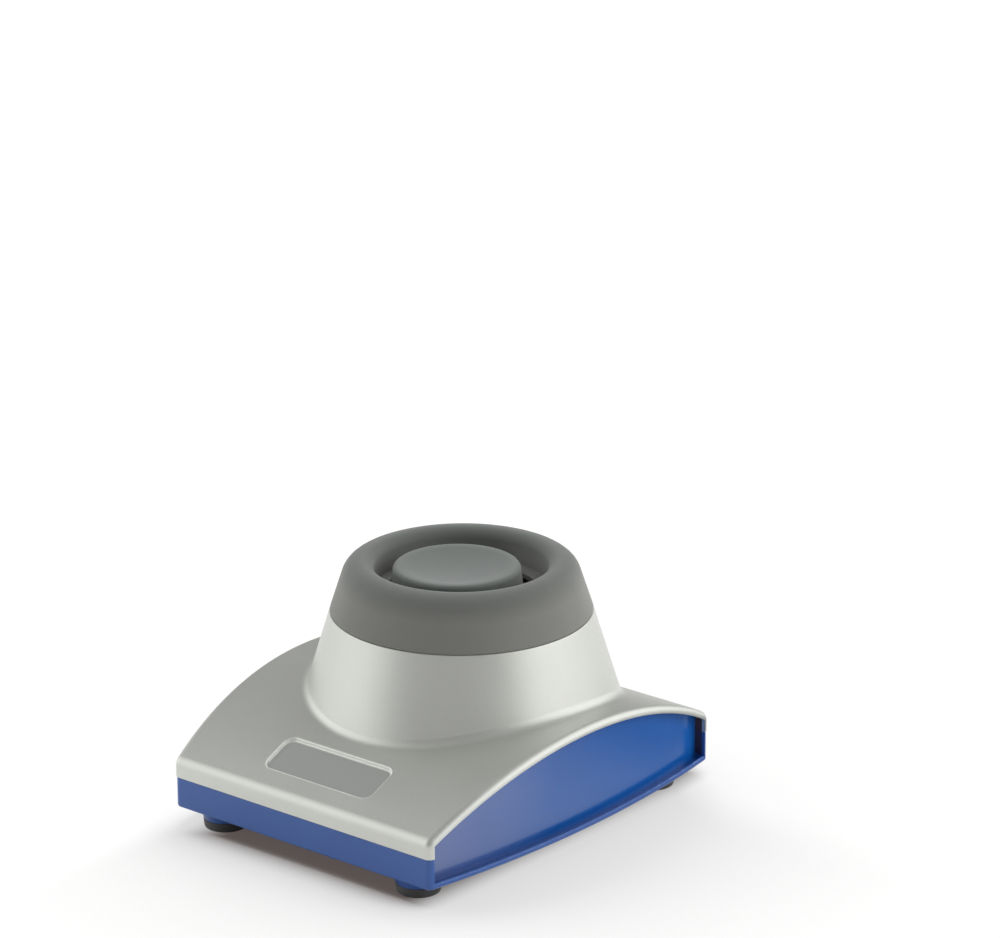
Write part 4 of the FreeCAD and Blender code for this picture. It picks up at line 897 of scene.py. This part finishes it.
# The wide soft shadow: it fades at the left, where the light comes in, and towards the rear
WIDE_SHADOW = 130.0
WIDE_POWER = 0.6
WIDE_STRENGTH = 0.62
WIDE_LEFT = (-58.0, -42.0)
WIDE_REAR = (30.0, 62.0)
WIDE_REAR_SHARE = 0.3
# The floor that the right panel's gloss shows, which dims towards the rear
DIM_STRENGTH = 0.92
DIM_REAR = (0.0, 95.0)
DIM_RIGHT = (35.0, 65.0)
DIM_REACH = (180.0, 280.0)


def make_floor():
    """White paper whose reflection in the right panel's gloss dims towards the rear."""
    side = mm(FLOOR_REACH)
    mesh = bpy.data.meshes.new("floor")
    mesh.from_pydata([(-side, -side, 0), (side, -side, 0), (side, side, 0), (-side, side, 0)],
                     [], [(0, 1, 2, 3)])
    floor = bpy.data.objects.new("floor", mesh)
    bpy.context.scene.collection.objects.link(floor)
    material = bpy.data.materials.new("white_floor")
    material.use_nodes = True
    graph = Graph(material.node_tree)
    graph.tree.nodes.clear()
    x, y = graph.parts(graph.node("ShaderNodeTexCoord", output="Object"))[:2]

    def over(value, ends, at_low, at_high):
        return graph.fade(value, mm(ends[0]), mm(ends[1]), at_low, at_high)

    from_sides = over((x - mm(SHADOW_LINE)).math("ABSOLUTE"), SHADOW_SIDES, 0.0, 1.0)
    lit_share = graph.fade(graph.open_share(mm(CLOSE_SHADOW)), *SHADOW_OPEN, 0.0, 1.0)
    lit_share = lit_share.math("MAXIMUM", from_sides)
    tone = graph.blend(lit_share, PAPER_SHADE, PAPER)
    paper = graph.node("ShaderNodeBsdfDiffuse", {}, {"Color": tone})
    halo = ((1 - graph.open_share(mm(WIDE_SHADOW))) ** WIDE_POWER
            * over(x, WIDE_LEFT, 0.0, WIDE_STRENGTH) * over(y, WIDE_REAR, 1.0, WIDE_REAR_SHARE))
    strength = (GLOW_STRENGTH - halo).math("MAXIMUM", LEAST_GLOW)
    glow_tone = graph.blend(lit_share, PAPER_SHADE, GLOW)
    glow = graph.node("ShaderNodeEmission", {}, {"Color": glow_tone, "Strength": strength})
    seen = graph.rays("Camera", "Glossy", "Transmission") * PAPER_GLOW
    lit = graph.node("ShaderNodeMixShader", {}, {0: seen, 1: paper, 2: glow})
    dark = graph.node("ShaderNodeEmission", {}, {"Color": WHITE, "Strength": DIMMED_GLOW})
    reach = (x * x + y * y).math("SQRT")
    dimmed = (over(y, DIM_REAR, 0.0, DIM_STRENGTH) * over(x, DIM_RIGHT, 0.0, 1.0)
              * over(reach, DIM_REACH, 1.0, 0.0) * graph.rays("Glossy"))
    mixed = graph.node("ShaderNodeMixShader", {}, {0: dimmed, 1: lit, 2: dark})
    graph.ending("ShaderNodeOutputMaterial", mixed)
    mesh.materials.append(material)


def heading(azimuth, elevation):
    """The way to a place round the mixer. Azimuth 0 is in front of it, 90 to its right."""
    turn, rise = math.radians(azimuth), math.radians(elevation)
    return Vector((math.sin(turn) * math.cos(rise), -math.cos(turn) * math.cos(rise),
                   math.sin(rise)))


SKY_FOR_LIGHT = 0.46
SKY_OVERHEAD = 0.22
OVERHEAD_FROM = 0.5
SKY_IN_GLOSS = 0.33
# Bright walls that the gloss of the case shows: azimuth, elevation, half width of the full
# brightness, half width of the whole (all in degrees) and strength
WALLS = ((-60, 14, 16, 50, 1.2), (136, 12, 34, 60, 1.3))


def make_world():
    """White to the eye, grey to gloss but for two bright walls, dimmer overhead for lighting."""
    world = bpy.data.worlds.new("studio")
    bpy.context.scene.world = world
    world.use_nodes = True
    graph = Graph(world.node_tree)
    graph.tree.nodes.clear()
    way = graph.node("ShaderNodeTexCoord", output="Generated")
    gloss = SKY_IN_GLOSS
    for azimuth, elevation, inside, outside, strength in WALLS:
        near = graph.node("ShaderNodeVectorMath", {"operation": "DOT_PRODUCT"},
                          {0: way, 1: heading(azimuth, elevation)}, "Value")
        low, high = math.cos(math.radians(outside)), math.cos(math.radians(inside))
        gloss = gloss + graph.fade(near, low, high, 0.0, strength)
    height = graph.parts(way)[2]
    light = graph.fade(height, OVERHEAD_FROM, 1.0, SKY_FOR_LIGHT, SKY_OVERHEAD)
    plain = light + graph.rays("Camera", "Transmission") * (1 - light)
    is_gloss = graph.rays("Glossy")
    strength = plain * (1 - is_gloss) + gloss * is_gloss
    sky = graph.node("ShaderNodeBackground", {}, {"Color": WHITE, "Strength": strength})
    graph.ending("ShaderNodeOutputWorld", sky)


LAMP_DISTANCE = 1600.0
LAMP_AIM_HEIGHT = 40.0


def softbox(name, azimuth, elevation, size, power):
    """A wide soft lamp that faces the mixer and doesn't show in its gloss.

    Its size is in metres and its power in watts.
    """
    lamp = bpy.data.lights.new(name, "AREA")
    lamp.shape = "RECTANGLE"
    lamp.size, lamp.size_y = size
    lamp.energy = power
    thing = bpy.data.objects.new(name, lamp)
    away = heading(azimuth, elevation)
    thing.location = mm(0, 0, LAMP_AIM_HEIGHT) + away * mm(LAMP_DISTANCE)
    thing.rotation_mode = "QUATERNION"
    thing.rotation_quaternion = away.to_track_quat("Z", "Y")
    thing.visible_glossy = False
    bpy.context.scene.collection.objects.link(thing)


CAMERA_AZIMUTH = 40.14
CAMERA_ELEVATION = 19.16
CAMERA_ROLL = -0.30
CAMERA_DISTANCE = 1536.98
CAMERA_AIM_RIGHT = 17.02
CAMERA_AIM_HEIGHT = 104.14
FOCAL_LENGTH_IN_PIXELS = 5281.57
IMAGE_WIDTH = 1000
SENSOR_WIDTH = 36.0
CAMERA_CLIP = (50.0, 60000.0)


def make_camera():
    """A camera that sees the mixer as the photo does."""
    turn, roll = math.radians(CAMERA_AZIMUTH), math.radians(CAMERA_ROLL)
    back = heading(CAMERA_AZIMUTH, CAMERA_ELEVATION)
    right = Vector((math.cos(turn), math.sin(turn), 0))
    up = back.cross(right)
    aim = right * mm(CAMERA_AIM_RIGHT) + mm(0, 0, CAMERA_AIM_HEIGHT)
    across = right * math.cos(roll) + up * math.sin(roll)
    upward = up * math.cos(roll) - right * math.sin(roll)
    lens = bpy.data.cameras.new("photo_camera")
    lens.sensor_width = SENSOR_WIDTH
    lens.lens = FOCAL_LENGTH_IN_PIXELS * SENSOR_WIDTH / IMAGE_WIDTH
    lens.clip_start, lens.clip_end = (mm(length) for length in CAMERA_CLIP)
    camera = bpy.data.objects.new("photo_camera", lens)
    bpy.context.scene.collection.objects.link(camera)
    turned = Matrix((across, upward, back)).transposed().to_4x4()
    camera.matrix_world = Matrix.Translation(aim + back * mm(CAMERA_DISTANCE)) @ turned
    bpy.context.scene.camera = camera


make_floor()
make_world()
softbox("left_softbox", azimuth=-60, elevation=30, size=(1.2, 1.0), power=11)
softbox("right_softbox", azimuth=115, elevation=26, size=(1.2, 1.0), power=14)
softbox("rear_softbox", azimuth=-155, elevation=55, size=(1.5, 1.3), power=17)
make_camera()
bpy.context.scene.view_settings.view_transform = "Standard"
